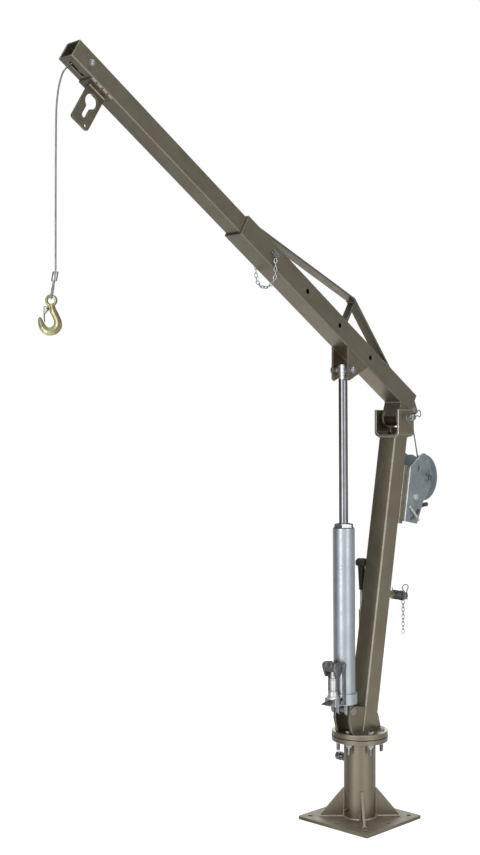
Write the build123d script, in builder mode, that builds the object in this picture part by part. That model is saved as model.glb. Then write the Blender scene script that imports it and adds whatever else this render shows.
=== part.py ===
"""Truck jib crane: bolted base, swivel mast, jack-raised telescopic boom, hand winch, rope and hook.

Millimetres, +Z up. The origin is on the underside of the base plate, under the swivel axis.
The boom lies in the plane Y = 0 and points to +X.
"""
import os
from math import asin, atan2, cos, degrees, hypot, pi, radians, sin, sqrt, tan

from build123d import *

os.makedirs("parts", exist_ok=True)

# General fits
running_gap = 0.05
plate = 8.0
thin_plate = 6.0

# Base
base_size = 280.0
base_thick = 10.0
anchor_pitch = 112.0
anchor_r = 8.0
column_r = 51.0
column_wall = 6.0
gusset_height = 91.0
gusset_reach = 78.0
gusset_toe = 3.0
swivel_gap = 0.3

# Swivel
spindle_r = 40.0
spindle_wall = 8.0
spindle_bottom = 40.0
bush_height = 25.0
flange_r = 90.0
flange_edge = 1.5
lower_flange = 16.0
upper_flange = 17.0
swivel_z = 255.0
bolt_circle = 69.0
bolt_phase = 8.5
bolt_r = 6.0
bolt_hex = 19.0
bolt_head = 8.0
bolt_length = 69.0
nut_high = 10.0
screw_z = 188.0
screw_r = 8.0

# Mast
mast_lean = 10.22
mast_foot_x = -9.6
mast_side = 67.0
mast_wall = 5.0
head_drop = 64.0
cheek_reach = 76.0
cheek_high = 73.2
cheek_back = 15.0

# Boom pivot and clevis
pivot_x = -197.0
pivot_z = 1292.0
pivot_r = 10.0
clevis_inside = 86.0
clevis_rear = 29.0
clevis_front = 56.0
clevis_top = 25.0

# Boom
boom_pitch = 31.72
boom_rise = 65.0
outer_side = 67.0
outer_wall = 5.0
outer_rear = -17.0
outer_front = 940.0
inner_side = 55.0
inner_wall = 4.0
inner_tail = 734.0
inner_tip = 1659.0
lock_hole_s = 796.0
lock_pitch = 180.0
lock_r = 8.0
ear_thick = 8.0
truss_front = 930.0
truss_apex = 405.0
truss_rear = 105.0
truss_high = 95.0
truss_wide = 36.0
strut_s = 394.0
strut_wide = 27.0
lug_s = 318.2
lug_v = -21.5
lug_pin_r = 8.0

# Jack
jack_pin_x = 77.0
jack_pin_z = 362.0
jack_pin_r = 9.0
jack_r = 35.0
jack_wall = 5.0
jack_tube_from = 57.0
jack_tube_to = 578.0
gland_top = 588.0
ram_r = 14.25
ram_play = 8.0
ram_low = 430.0
ram_head_r = 15.0
pump_x = 56.0
rocker_x = 37.0
rocker_h = 150.0

# Rope and sheaves
rope_r = 2.4
rear_sheave_s = -30.0
rear_sheave_v = 47.3
rear_groove = 24.0
tip_sheave_s = 1601.0
tip_sheave_v = 65.0
tip_groove = 20.0
rope_exit_turn = 66.5
slot_from = 1588.0
slot_to = 1643.0
slot_wide = 11.0

# Winch
drum_x = -310.0
drum_z = 1090.0
drum_core = 14.5
drum_left = -27.0
drum_right = 19.0
axle_r = 8.0
tooth_module = 3.5
gear_teeth = 42
pinion_teeth = 12
gear_wide = 8.0
mesh_slack = 0.2
mesh_angle = -42.0
winding_pitch = 5.4
winch_wall = 5.0
winch_half = 42.0

# Hook and hanging rope
hook_x = 1224.0
ferrule_top = 1650.0
ferrule_high = 22.0
eye_drop = 45.0
eye_bend = 10.0
eye_lean = 9.5
hook_hole = 8.5
hook_turn = 133.93

# Values that follow from the ones above
mast_z = swivel_z + lower_flange + upper_flange
lean = radians(mast_lean)
mast_up = (-sin(lean), 0, cos(lean))
mast_half = mast_side / 2
mast_top = pivot_z - head_drop
pitch = radians(boom_pitch)
boom_dir = (cos(pitch), 0, sin(pitch))
outer_half = outer_side / 2
inner_half = inner_side / 2
boom_low = boom_rise - outer_half
boom_high = boom_rise + outer_half
column_in = column_r - column_wall
column_top = swivel_z - swivel_gap


def side(x, z, turn=0.0, y=0.0):
    """Upright plane across Y: local x runs along +X turned up by the angle, extrusion goes to -Y."""
    a = radians(turn)
    return Plane(origin=(x, y, z), x_dir=(cos(a), 0, sin(a)), z_dir=(0, -1, 0))


mast_plane = side(mast_foot_x, mast_z, mast_lean)
boom_plane = side(pivot_x, pivot_z, boom_pitch)


def mast_at(f, h):
    """World X and Z of a point f in front of the mast's axis and h along it from its foot."""
    return (mast_foot_x + f * cos(lean) - h * sin(lean), mast_z + f * sin(lean) + h * cos(lean))


def boom_at(s, v):
    """World X and Z of a point s along the boom and v above the pivot pin."""
    return (pivot_x + s * cos(pitch) - v * sin(pitch), pivot_z + s * sin(pitch) + v * cos(pitch))


def at_y(base, y):
    """The same side plane moved to another Y."""
    return Plane(origin=(base.origin.X, y, base.origin.Z), x_dir=base.x_dir, z_dir=base.z_dir)


def bore(place, r, reach):
    """Cuts a round hole across Y through the part being built."""
    with BuildSketch(place) as outline:
        Circle(r)
    extrude(outline.sketch, amount=reach, both=True, mode=Mode.SUBTRACT)


def bar(place, r, y_from, y_to):
    """Adds a round bar along Y between two Y values."""
    with BuildSketch(at_y(place, y_to)) as outline:
        Circle(r)
    extrude(outline.sketch, amount=y_to - y_from)


def hexagon_bar(place, across, y_from, y_to):
    """Adds a hexagon bar along Y between two Y values."""
    with BuildSketch(at_y(place, y_to)) as outline:
        RegularPolygon(across / 2, 6, major_radius=False)
    extrude(outline.sketch, amount=y_to - y_from)


def ring(place, r_out, r_in, y_from, y_to):
    """Adds a ring along Y between two Y values."""
    with BuildSketch(at_y(place, y_to)) as outline:
        Circle(r_out)
        Circle(r_in, mode=Mode.SUBTRACT)
    extrude(outline.sketch, amount=y_to - y_from)


def turned(place, corners, axis):
    """Adds a turned body from a half outline."""
    with BuildSketch(place) as outline:
        with BuildLine():
            Polyline(*corners, close=True)
        make_face()
    revolve(outline.sketch, axis=axis)


def round_edges(r):
    """The circular edges with this radius of the part being built."""
    return edges().filter_by(GeomType.CIRCLE).filter_by(lambda e: abs(e.radius - r) < 0.01)


def bend_radii(points):
    """The widest bend at each corner that uses at most 0.45 of the shorter straight beside it."""
    radii = []
    for before, here, after in zip(points, points[1:], points[2:]):
        a = Vector(*here) - Vector(*before)
        b = Vector(*after) - Vector(*here)
        turn = radians(a.get_angle(b))
        radii.append(0.45 * min(a.length, b.length) / tan(turn / 2))
    return radii


def wire(points, r, radii):
    """A round wire along straight runs with tangent bends."""
    with BuildPart() as piece:
        with BuildLine() as path:
            FilletPolyline(*points, radius=radii)
        with BuildSketch(Plane(origin=path.line @ 0, z_dir=path.line % 0)):
            Circle(r)
        sweep()
    return piece


def outer_tangent(c1, r1, c2, r2):
    """Touching points of the straight rope that runs on the left side from one circle to the next."""
    dx = c2[0] - c1[0]
    dz = c2[1] - c1[1]
    way = atan2(dz, dx) + pi / 2 + asin((r1 - r2) / hypot(dx, dz)) * -1
    n = (cos(way), sin(way))
    return ((c1[0] + r1 * n[0], c1[1] + r1 * n[1]), (c2[0] + r2 * n[0], c2[1] + r2 * n[1]), way)


link_long = 17.0
link_wide = 9.0
link_wire = 2.2
link_pitch = link_long - 2 * link_wire - 0.4


def chain_link(centre, along, across):
    """Adds one chain link whose flat side looks along the second direction."""
    with BuildSketch(Plane(origin=centre, x_dir=along, z_dir=across)) as outline:
        SlotOverall(link_long, link_wide)
        SlotOverall(link_long - 2 * link_wire, link_wide - 2 * link_wire, mode=Mode.SUBTRACT)
    extrude(outline.sketch, amount=link_wire * 0.45, both=True)


# Base
with BuildPart() as base_plate:
    with BuildSketch():
        RectangleRounded(base_size, base_size, 4)
        with GridLocations(2 * anchor_pitch, 2 * anchor_pitch, 2, 2):
            Circle(anchor_r, mode=Mode.SUBTRACT)
        with PolarLocations(anchor_pitch, 4):
            Circle(anchor_r, mode=Mode.SUBTRACT)
    extrude(amount=base_thick)
base_plate.part.label = "base_plate"

screw_plane = side(0, screw_z)
boss_out = column_r + 13.0
with BuildPart() as base_column:
    with BuildSketch(Plane.XY.offset(base_thick)):
        Circle(column_r)
    extrude(amount=column_top - base_thick)
    with BuildSketch(at_y(screw_plane, -boss_out + 20)):
        Circle(14)
    extrude(amount=20)
    with BuildSketch(Plane.XY.offset(base_thick)):
        Circle(column_in)
    extrude(amount=column_top - base_thick, mode=Mode.SUBTRACT)
    with BuildSketch(screw_plane):
        Circle(screw_r + running_gap)
    extrude(amount=boss_out + 1, mode=Mode.SUBTRACT)
base_column.part.label = "base_column"

with BuildPart() as base_gussets:
    for quarter in range(4):
        turn = radians(45 + 90 * quarter)
        outward = (cos(turn), sin(turn), 0)
        with BuildSketch(Plane(origin=(0, 0, base_thick), x_dir=outward, z_dir=(sin(turn), -cos(turn), 0))):
            with BuildLine():
                Polyline(
                    (column_in, 0),
                    (column_r + gusset_reach, 0),
                    (column_r + gusset_reach, gusset_toe),
                    (column_r + gusset_toe, gusset_height),
                    (column_in, gusset_height),
                    close=True,
                )
            make_face()
        extrude(amount=plate / 2, both=True)
    with BuildSketch(Plane.XY.offset(base_thick)):
        Circle(column_r)
    extrude(amount=gusset_height, mode=Mode.SUBTRACT)
base_gussets.part.label = "base_gussets"

bush_low = base_thick + 35.0
bush_top = column_top - 8.0
with BuildPart() as column_bushes:
    for bottom in (bush_low, bush_top - bush_height):
        with BuildSketch(Plane.XY.offset(bottom)):
            Circle(column_in)
            Circle(spindle_r + running_gap, mode=Mode.SUBTRACT)
        extrude(amount=bush_height)
column_bushes.part.label = "column_bushes"

nipple_turn = radians(-10)
nipple_axis = (cos(nipple_turn), sin(nipple_turn), 0)
nipple_seat = column_r * 0.99
nipple_plane = Plane(
    origin=(nipple_seat * nipple_axis[0], nipple_seat * nipple_axis[1], base_thick + 29),
    x_dir=(0, 0, 1),
    z_dir=nipple_axis,
)
with BuildPart() as grease_nipple:
    with BuildSketch(nipple_plane):
        RegularPolygon(4.5, 6, major_radius=False)
    extrude(amount=6)
    with BuildSketch(nipple_plane.offset(6)):
        Circle(3)
    extrude(amount=4)
    with Locations(nipple_plane.offset(11)):
        Sphere(3)
    with BuildSketch(Plane.XY):
        Circle(column_r)
    extrude(amount=base_thick + 60, mode=Mode.SUBTRACT)
grease_nipple.part.label = "grease_nipple"

screw_tip = -(spindle_r + swivel_gap)
screw_head = -boss_out - 14.0
with BuildPart() as swivel_lock_screw:
    bar(screw_plane, screw_r, screw_head, screw_tip)
    hexagon_bar(screw_plane, 24.0, screw_head - 15, screw_head)
swivel_lock_screw.part.label = "swivel_lock_screw"

# Swivel
with BuildPart() as spindle:
    with BuildSketch(Plane.XY.offset(spindle_bottom)):
        Circle(spindle_r)
        Circle(spindle_r - spindle_wall, mode=Mode.SUBTRACT)
    extrude(amount=swivel_z - spindle_bottom)
spindle.part.label = "spindle"


def bolt_spots():
    """Places of the flange bolts."""
    return PolarLocations(bolt_circle, 6, start_angle=bolt_phase)


with BuildPart() as swivel_flange:
    with BuildSketch(Plane.XY.offset(swivel_z)):
        Circle(flange_r)
        with bolt_spots():
            Circle(bolt_r + 0.5, mode=Mode.SUBTRACT)
    extrude(amount=lower_flange)
    chamfer(round_edges(flange_r), flange_edge)
swivel_flange.part.label = "swivel_flange"

with BuildPart() as mast_flange:
    with BuildSketch(Plane.XY.offset(swivel_z + lower_flange)):
        Circle(flange_r)
        with bolt_spots():
            Circle(bolt_r + 0.5, mode=Mode.SUBTRACT)
    extrude(amount=upper_flange)
    chamfer(round_edges(flange_r), flange_edge)
mast_flange.part.label = "mast_flange"

with BuildPart() as flange_bolts:
    with BuildSketch(Plane.XY.offset(mast_z)):
        with bolt_spots():
            RegularPolygon(bolt_hex / 2, 6, major_radius=False)
    extrude(amount=bolt_head)
    with BuildSketch(Plane.XY.offset(mast_z - bolt_length)):
        with bolt_spots():
            Circle(bolt_r)
    extrude(amount=bolt_length)
    with BuildSketch(Plane.XY.offset(swivel_z - nut_high)):
        with bolt_spots():
            RegularPolygon(bolt_hex / 2, 6, major_radius=False)
    extrude(amount=nut_high)
flange_bolts.part.label = "flange_bolts"

# Mast
mast_depth = mast_side / cos(lean)
with BuildPart() as mast_tube:
    with BuildSketch(Plane(origin=(mast_foot_x, 0, mast_z), z_dir=(0, 0, 1))):
        RectangleRounded(mast_depth, mast_side, 5)
        RectangleRounded(mast_depth - 2 * mast_wall, mast_side - 2 * mast_wall, 2, mode=Mode.SUBTRACT)
    extrude(amount=(mast_top - mast_z) / cos(lean), dir=mast_up)
mast_tube.part.label = "mast_tube"

jack_pin_plane = side(jack_pin_x, jack_pin_z)
pivot_plane = side(pivot_x, pivot_z)
world_plane = side(0, 0)
cheek_in = mast_half - plate
cheek_top = mast_at(mast_half, cheek_high)
cheek_corner = mast_at(mast_half + cheek_reach, cheek_high)
cheek_nose = mast_at(mast_half + cheek_reach, cheek_high * 0.41)
mast_front_foot = (mast_foot_x + mast_depth / 2, mast_z)
mast_rear_foot = (mast_foot_x - mast_depth / 2, mast_z)
with BuildPart() as mast_foot_plates:
    for y in (mast_half, -cheek_in):
        with BuildSketch(side(0, 0, 0, y)):
            with BuildLine():
                Polyline(
                    mast_front_foot,
                    cheek_top,
                    cheek_corner,
                    cheek_nose,
                    (cheek_nose[0] - cheek_back, mast_z),
                    close=True,
                )
            make_face()
        extrude(amount=plate)
        with BuildSketch(side(0, 0, 0, y)):
            with BuildLine():
                Polyline(
                    mast_rear_foot,
                    (mast_rear_foot[0] - 24, mast_z),
                    mast_at(-mast_half, 56),
                    close=True,
                )
            make_face()
        extrude(amount=plate)
    bore(jack_pin_plane, jack_pin_r + running_gap, mast_half + 1)
mast_foot_plates.part.label = "mast_foot_plates"

clevis_out = clevis_inside / 2 + thin_plate
ear_r = 38.0
rear_wall_top = pivot_z - sqrt(ear_r**2 - (clevis_rear - thin_plate) ** 2) - 2.0
with BuildPart() as mast_head:
    with BuildSketch(Plane.YZ.offset(pivot_x - clevis_rear)):
        with BuildLine():
            Polyline(
                (-clevis_out, pivot_z + clevis_top),
                (-clevis_out, mast_top),
                (clevis_out, mast_top),
                (clevis_out, pivot_z + clevis_top),
                close=True,
            )
        make_face()
        fillet(vertices().group_by(Axis.Y)[0], 16)
        with BuildLine():
            Polyline(
                (-clevis_inside / 2, pivot_z + clevis_top),
                (-clevis_inside / 2, mast_top + thin_plate + 10),
                (-clevis_inside / 2 + 10, mast_top + thin_plate),
                (clevis_inside / 2 - 10, mast_top + thin_plate),
                (clevis_inside / 2, mast_top + thin_plate + 10),
                (clevis_inside / 2, pivot_z + clevis_top),
                close=True,
            )
        make_face(mode=Mode.SUBTRACT)
    extrude(amount=clevis_rear + clevis_front)
    with BuildSketch(Plane.YZ.offset(pivot_x - clevis_rear)):
        with Locations((0, (mast_top + rear_wall_top) / 2)):
            Rectangle(clevis_inside, rear_wall_top - mast_top)
    extrude(amount=thin_plate)
    bore(pivot_plane, pivot_r + running_gap, clevis_out + 1)
mast_head.part.label = "mast_head"

with BuildPart() as jack_pin:
    bar(jack_pin_plane, jack_pin_r, -mast_half - 13, mast_half)
    bar(jack_pin_plane, jack_pin_r + 3, mast_half, mast_half + 5)
    ring(jack_pin_plane, jack_pin_r + 6, jack_pin_r, -mast_half - 2.5, -mast_half)
    hexagon_bar(jack_pin_plane, 2.9 * jack_pin_r, -mast_half - 11, -mast_half - 2.5)
jack_pin.part.label = "jack_pin"

washer = 3.0
pin_end = clevis_out + 24.0
clip_way = radians(165.5)
clip_along = (cos(clip_way), 0, sin(clip_way))
clip_up = (sin(clip_way), 0, -cos(clip_way))
with BuildPart() as pivot_pin:
    bar(pivot_plane, pivot_r, -clevis_out - washer, pin_end)
    bar(pivot_plane, pivot_r + 5, -clevis_out - washer - 7, -clevis_out - washer)
    ring(pivot_plane, pivot_r + 6, pivot_r, -clevis_out - washer, -clevis_out)
    ring(pivot_plane, pivot_r + 6, pivot_r, clevis_out, clevis_out + washer)
    hexagon_bar(pivot_plane, 2.3 * pivot_r, clevis_out + washer, clevis_out + washer + 9)
    with BuildSketch(Plane(origin=(pivot_x, pin_end - 5, pivot_z), x_dir=(0, 1, 0), z_dir=clip_along)):
        Circle(1.7)
    extrude(amount=pivot_r + 1, both=True, mode=Mode.SUBTRACT)
pivot_pin.part.label = "pivot_pin"


def hairpin(centre, along, up, pin_r, reach):
    """A wire clip: one leg through the pin, the other leg round its outside."""
    a = Vector(*along)
    b = Vector(*up)
    c = Vector(*centre)
    lift = pin_r + 2.2
    corners = [
        c - a * (pin_r + 8),
        c + a * (pin_r + reach),
        c + a * (pin_r + reach) + b * lift,
        c - a * (pin_r + 4) + b * lift,
    ]
    return wire([tuple(p) for p in corners], 1.5, [lift * 0.48, lift * 0.48])


pivot_clip = hairpin((pivot_x, pin_end - 5, pivot_z), clip_along, clip_up, pivot_r, 24.0)
pivot_clip.part.label = "pivot_clip"

# Winch on the mast, in the mast's own directions
bracket_deep = 21.5
bracket_wide = 66.0
bracket_wall = 6.0
winch_low = 682.0
winch_high = 862.0
winch_face = -mast_half - bracket_deep
mast_across = Plane(origin=(mast_foot_x, 0, mast_z), x_dir=(cos(lean), 0, sin(lean)), z_dir=mast_up)
with BuildPart() as winch_bracket:
    with BuildSketch(mast_across.offset(winch_low - 9)):
        with Locations((winch_face + bracket_deep / 2, 0)):
            Rectangle(bracket_deep, bracket_wide)
        with Locations((winch_face + bracket_deep / 2 + bracket_wall, 0)):
            Rectangle(bracket_deep, bracket_wide - 2 * bracket_wall, mode=Mode.SUBTRACT)
    extrude(amount=winch_high - winch_low + 14)
winch_bracket.part.label = "winch_bracket"

drum_plane = side(drum_x, drum_z, mast_lean)
gear_pitch_r = tooth_module * gear_teeth / 2
pinion_pitch_r = tooth_module * pinion_teeth / 2
mesh_way = radians(mesh_angle)
mesh_gap = gear_pitch_r + pinion_pitch_r + mesh_slack
pinion_x = drum_x + mesh_gap * cos(mesh_way)
pinion_z = drum_z + mesh_gap * sin(mesh_way)
pinion_plane = side(pinion_x, pinion_z, mast_lean)
pinion_shaft_r = 7.0


def mast_from(x, z):
    """Front and height, in the mast's directions, of a world X and Z."""
    dx = x - mast_foot_x
    dz = z - mast_z
    return (dx * cos(lean) + dz * sin(lean), -dx * sin(lean) + dz * cos(lean))


drum_f, drum_h = mast_from(drum_x, drum_z)
pinion_f, pinion_h = mast_from(pinion_x, pinion_z)
pawl_back = 14.0
pawl_drop = 55.0
pawl_f = pinion_f - pawl_back
pawl_h = pinion_h - pawl_drop
pawl_x, pawl_z = mast_at(pawl_f, pawl_h)
pawl_plane = side(pawl_x, pawl_z, mast_lean)
pawl_pin_r = 4.0
tooth_out = 2.8
flange_out = gear_pitch_r + tooth_out
cover_from = drum_right + gear_wide
ratchet_from = cover_from + 3.2
ratchet_wide = 4.8
pawl_from = ratchet_from + 0.3
pawl_to = pawl_from + 4.0
lobe_low = (drum_f + 5, drum_h - 78)
lobe_rear = (drum_f - 24, drum_h + 8)
lobe_top = (drum_f + 30, drum_h + 84)
with BuildPart() as winch_frame:
    for y in (winch_half, -winch_half + winch_wall):
        with BuildSketch(at_y(mast_plane, y)):
            with BuildLine():
                Polyline(
                    lobe_top,
                    (winch_face, winch_high),
                    (winch_face, winch_low),
                    (winch_face - 70, winch_low),
                    lobe_low,
                )
                ThreePointArc(lobe_low, lobe_rear, lobe_top)
            make_face()
            fillet(vertices().sort_by_distance(lobe_top)[0], 24)
            with Locations((drum_f + 49, drum_h + 23)):
                SlotOverall(20, 9, rotation=80, mode=Mode.SUBTRACT)
        extrude(amount=winch_wall)
    with BuildSketch(at_y(mast_plane, winch_half - winch_wall)):
        with Locations((winch_face - winch_wall / 2, (winch_low + winch_high) / 2)):
            Rectangle(winch_wall, winch_high - winch_low)
    extrude(amount=2 * (winch_half - winch_wall))
    bore(drum_plane, axle_r + running_gap, winch_half + 1)
    bore(pinion_plane, pinion_shaft_r + running_gap, winch_half + 1)
winch_frame.part.label = "winch_frame"

with BuildPart() as winch_bolts:
    for high in (winch_low + 30, winch_high - 30):
        x, z = mast_at(winch_face - winch_wall, high)
        with BuildSketch(Plane(origin=(x, 0, z), x_dir=(0, 1, 0), z_dir=(-cos(lean), 0, -sin(lean)))):
            with Locations((-14, 0), (14, 0)):
                RegularPolygon(8.5, 6, major_radius=False)
        extrude(amount=6)
    bar(pawl_plane, pawl_pin_r, pawl_from - 0.6, winch_half - winch_wall)
winch_bolts.part.label = "winch_bolts"

with BuildPart() as drum_axle:
    bar(drum_plane, axle_r, -winch_half - 10, winch_half + 10)
    hexagon_bar(drum_plane, 22.0, winch_half, winch_half + 8)
    hexagon_bar(drum_plane, 22.0, -winch_half - 8, -winch_half)
drum_axle.part.label = "drum_axle"

with BuildPart() as winch_drum:
    ring(drum_plane, drum_core, axle_r + running_gap, -winch_half + winch_wall + 1, drum_right)
    ring(drum_plane, flange_out, axle_r + running_gap, drum_left - 3, drum_left)
winch_drum.part.label = "winch_drum"


def toothed(teeth, pitch_r, root_half, tip_half, phase):
    """Outline of a gear: tooth flanks as straight lines from root to pitch circle to tip."""
    root = pitch_r - 4.0
    tip = pitch_r + tooth_out
    corners = []
    for tooth in range(teeth):
        middle = phase + 2 * pi * tooth / teeth
        for r, half in ((root, -root_half), (pitch_r, -2.0), (tip, -tip_half)):
            corners.append((r * cos(middle + half / r), r * sin(middle + half / r)))
        for r, half in ((tip, tip_half), (pitch_r, 2.0), (root, root_half)):
            corners.append((r * cos(middle + half / r), r * sin(middle + half / r)))
    return corners


cover_r = flange_out + 1.2
with BuildPart() as drum_gear:
    with BuildSketch(at_y(side(drum_x, drum_z), cover_from)):
        with BuildLine():
            Polyline(*toothed(gear_teeth, gear_pitch_r, 3.3, 1.0, mesh_way), close=True)
        make_face()
        Circle(axle_r + running_gap, mode=Mode.SUBTRACT)
    extrude(amount=gear_wide)
    turned(
        Plane(origin=(drum_x, 0, drum_z), x_dir=(1, 0, 0), z_dir=(0, 0, 1)),
        [
            (axle_r + running_gap, cover_from),
            (cover_r, cover_from),
            (cover_r, cover_from + 2),
            (cover_r - 12, cover_from + 2.6),
            (cover_r - 32, cover_from + 7),
            (axle_r + running_gap, cover_from + 7),
        ],
        Axis((drum_x, 0, drum_z), (0, 1, 0)),
    )
    ring(drum_plane, drum_core, axle_r + running_gap, cover_from, winch_half - winch_wall - 1)
drum_gear.part.label = "drum_gear"

pinion_wide = gear_wide - 0.3
with BuildPart() as pinion_shaft:
    bar(pinion_plane, pinion_shaft_r, -winch_half - 34, winch_half + 12)
    for y, wide in ((drum_right + pinion_wide, pinion_wide), (ratchet_from + ratchet_wide, ratchet_wide)):
        with BuildSketch(at_y(side(pinion_x, pinion_z), y)):
            with BuildLine():
                Polyline(
                    *toothed(pinion_teeth, pinion_pitch_r, 2.5, 0.8, mesh_way + pi + pi / pinion_teeth),
                    close=True,
                )
            make_face()
        extrude(amount=wide)
    ring(pinion_plane, 11, pinion_shaft_r, winch_half + 0.3, winch_half + 8)
    ring(pinion_plane, 11, pinion_shaft_r, -winch_half - 8, -winch_half - 0.3)
pinion_shaft.part.label = "pinion_shaft"

nose_way = radians(226)
nose_r = pinion_pitch_r + tooth_out + 0.7
nose_half = 3.5
nose_f = pawl_back + nose_r * cos(nose_way)
nose_h = pawl_drop + nose_r * sin(nose_way)
nose_high = (nose_f + nose_half * sin(nose_way), nose_h - nose_half * cos(nose_way))
nose_low = (nose_f - nose_half * sin(nose_way), nose_h + nose_half * cos(nose_way))
with BuildPart() as pawl:
    with BuildSketch(at_y(pawl_plane, pawl_to)):
        Circle(9)
        with BuildLine():
            Polyline((-8, 0), (nose_high[0] - 4.5, nose_high[1] - 6), nose_high, nose_low, (8, 0), close=True)
        make_face()
        with BuildLine():
            Polyline((0, 8), (-46, 40), (-51, 33), (0, -8), close=True)
        make_face()
        Circle(pawl_pin_r + running_gap, mode=Mode.SUBTRACT)
    extrude(amount=pawl_to - pawl_from)
    grip_x, grip_z = mast_at(pawl_f - 47, pawl_h + 36)
    grip_way = radians(mast_lean - 15)
    grip_dir = (-cos(grip_way), 0, -sin(grip_way))
    grip_spot = (grip_x, (pawl_from + pawl_to) / 2, grip_z)
    with BuildSketch(Plane(origin=grip_spot, x_dir=(0, 1, 0), z_dir=grip_dir)):
        Circle(7)
    extrude(amount=24)
pawl.part.label = "pawl"

# One layer of rope on the drum: half turns, each in its own tilted plane, so that they join smoothly
layer_r = drum_core + rope_r + 0.1
winding_from = drum_left + rope_r + 0.6
half_turns = int((drum_right - rope_r - 0.6 - winding_from) / (winding_pitch / 2))
with BuildPart() as rope_winding:
    with BuildLine() as coil:
        for half in range(half_turns):
            flip = 1 if half % 2 == 0 else -1
            y0 = winding_from + half * winding_pitch / 2
            bulge = sqrt(layer_r**2 + (winding_pitch / 4) ** 2)
            ThreePointArc(
                (drum_x + flip * layer_r, y0, drum_z),
                (drum_x, y0 + winding_pitch / 4, drum_z + flip * bulge),
                (drum_x - flip * layer_r, y0 + winding_pitch / 2, drum_z),
            )
    with BuildSketch(Plane(origin=coil.line @ 0, z_dir=coil.line % 0)):
        Circle(rope_r)
    sweep()
rope_winding.part.label = "rope_winding"
half_steps = 24
coil_spots = [coil.line @ (step / (half_steps * half_turns)) for step in range(half_steps * half_turns + 1)]
least_apart = min(
    (coil_spots[i] - coil_spots[j]).length
    for i in range(len(coil_spots))
    for j in range(i + half_steps, len(coil_spots))
)
print("rope winding: turns", half_turns / 2, "least gap to itself", round(least_apart - 2 * rope_r, 2), "mm")

# Post behind the mast with clip and chain
post_h = 440.0
post_long = 124.0
post_r = 12.5
post_x, post_z = mast_at(-mast_half, post_h)
post_dir = (-cos(lean), 0, -sin(lean))
post_plane = Plane(origin=(post_x, 0, post_z), x_dir=(0, 1, 0), z_dir=post_dir)
clip_spot = Vector(post_x, 0, post_z) + Vector(*post_dir) * (post_long - 4)
with BuildPart() as handle_post:
    with BuildSketch(post_plane):
        Circle(post_r)
    extrude(amount=post_long)
    with BuildSketch(post_plane):
        Circle(post_r + 4.5)
    extrude(amount=8)
    with BuildSketch(post_plane.offset(post_long - 22)):
        Circle(post_r + 4)
    extrude(amount=9)
    with BuildSketch(Plane(origin=tuple(clip_spot), x_dir=(0, 1, 0), z_dir=mast_up)):
        Circle(1.7)
    extrude(amount=post_r + 1, both=True, mode=Mode.SUBTRACT)
handle_post.part.label = "handle_post"

post_clip = hairpin(tuple(clip_spot), mast_up, post_dir, post_r - 6, 24.0)
post_clip.part.label = "post_clip"

chain_spot = Vector(post_x, 0, post_z) + Vector(*post_dir) * (post_long - 10.5)
chain_x = chain_spot.X
chain_top = chain_spot.Z - post_r / cos(lean) - link_long / 2 - 0.3
post_links = 9
with BuildPart() as post_chain:
    for step in range(post_links):
        flat = (1, 0, 0) if step % 2 == 0 else (0, 1, 0)
        chain_link((chain_x, 0, chain_top - step * link_pitch), (0, 0, 1), flat)
post_chain.part.label = "post_chain"

# Loose pump handle in its socket on the mast's far side
handle_x = -78.0
handle_y = -mast_half - 21.0
handle_r = 5.0
socket_low = 605.0
socket_high = 655.0
with BuildPart() as handle_socket:
    with BuildSketch(Plane.XY.offset(socket_low)):
        with Locations((handle_x, handle_y)):
            Circle(handle_r + 4)
        with Locations((handle_x, (handle_y - mast_half) / 2)):
            Rectangle(thin_plate, handle_y + mast_half)
        with Locations((handle_x, handle_y)):
            Circle(handle_r + 0.3, mode=Mode.SUBTRACT)
    extrude(amount=socket_high - socket_low)
handle_socket.part.label = "handle_socket"

grip_low = socket_high + 70.0
with BuildPart() as stow_handle:
    with BuildSketch(Plane.XY.offset(socket_low)):
        with Locations((handle_x, handle_y)):
            Circle(handle_r)
    extrude(amount=grip_low - socket_low)
    with BuildSketch(Plane.XY.offset(socket_high)):
        with Locations((handle_x, handle_y)):
            Circle(handle_r + 3)
    extrude(amount=6)
stow_handle.part.label = "stow_handle"

with BuildPart() as handle_grip:
    with BuildSketch(Plane(origin=(handle_x, handle_y, grip_low), x_dir=(1, 0, 0), z_dir=(0, -1, 0))):
        with BuildLine():
            Polyline(
                (0, 0),
                (8, 0),
                (12, 76),
                (20, 82),
                (20, 95),
                (13, 103),
                (0, 103),
                close=True,
            )
        make_face()
    revolve(axis=Axis((handle_x, handle_y, 0), (0, 0, 1)))
handle_grip.part.label = "handle_grip"

# Rope from the drum to the boom's heel
second_layer = layer_r + 2 * rope_r + 0.3
sheave_xz = boom_at(rear_sheave_s, rear_sheave_v)
low_touch, high_touch, touch_way = outer_tangent((drum_x, drum_z), second_layer, sheave_xz, rear_groove)
wrap_mid = touch_way + radians(60)
wrap_end = touch_way + radians(120)
with BuildPart() as rope_mast_run:
    with BuildLine(world_plane) as run:
        ThreePointArc(
            (drum_x + second_layer * cos(wrap_end), drum_z + second_layer * sin(wrap_end)),
            (drum_x + second_layer * cos(wrap_mid), drum_z + second_layer * sin(wrap_mid)),
            low_touch,
        )
        Line(low_touch, high_touch)
    with BuildSketch(Plane(origin=run.line @ 0, z_dir=run.line % 0)):
        Circle(rope_r)
    sweep()
rope_mast_run.part.label = "rope_mast_run"

# Boom
boom_section = Plane(origin=(pivot_x, 0, pivot_z), x_dir=(0, 1, 0), z_dir=boom_dir)


def boom_across(s):
    """Section plane of the boom at a distance along it: local x is Y, local y is up across the boom."""
    return boom_section.offset(s)


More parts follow.
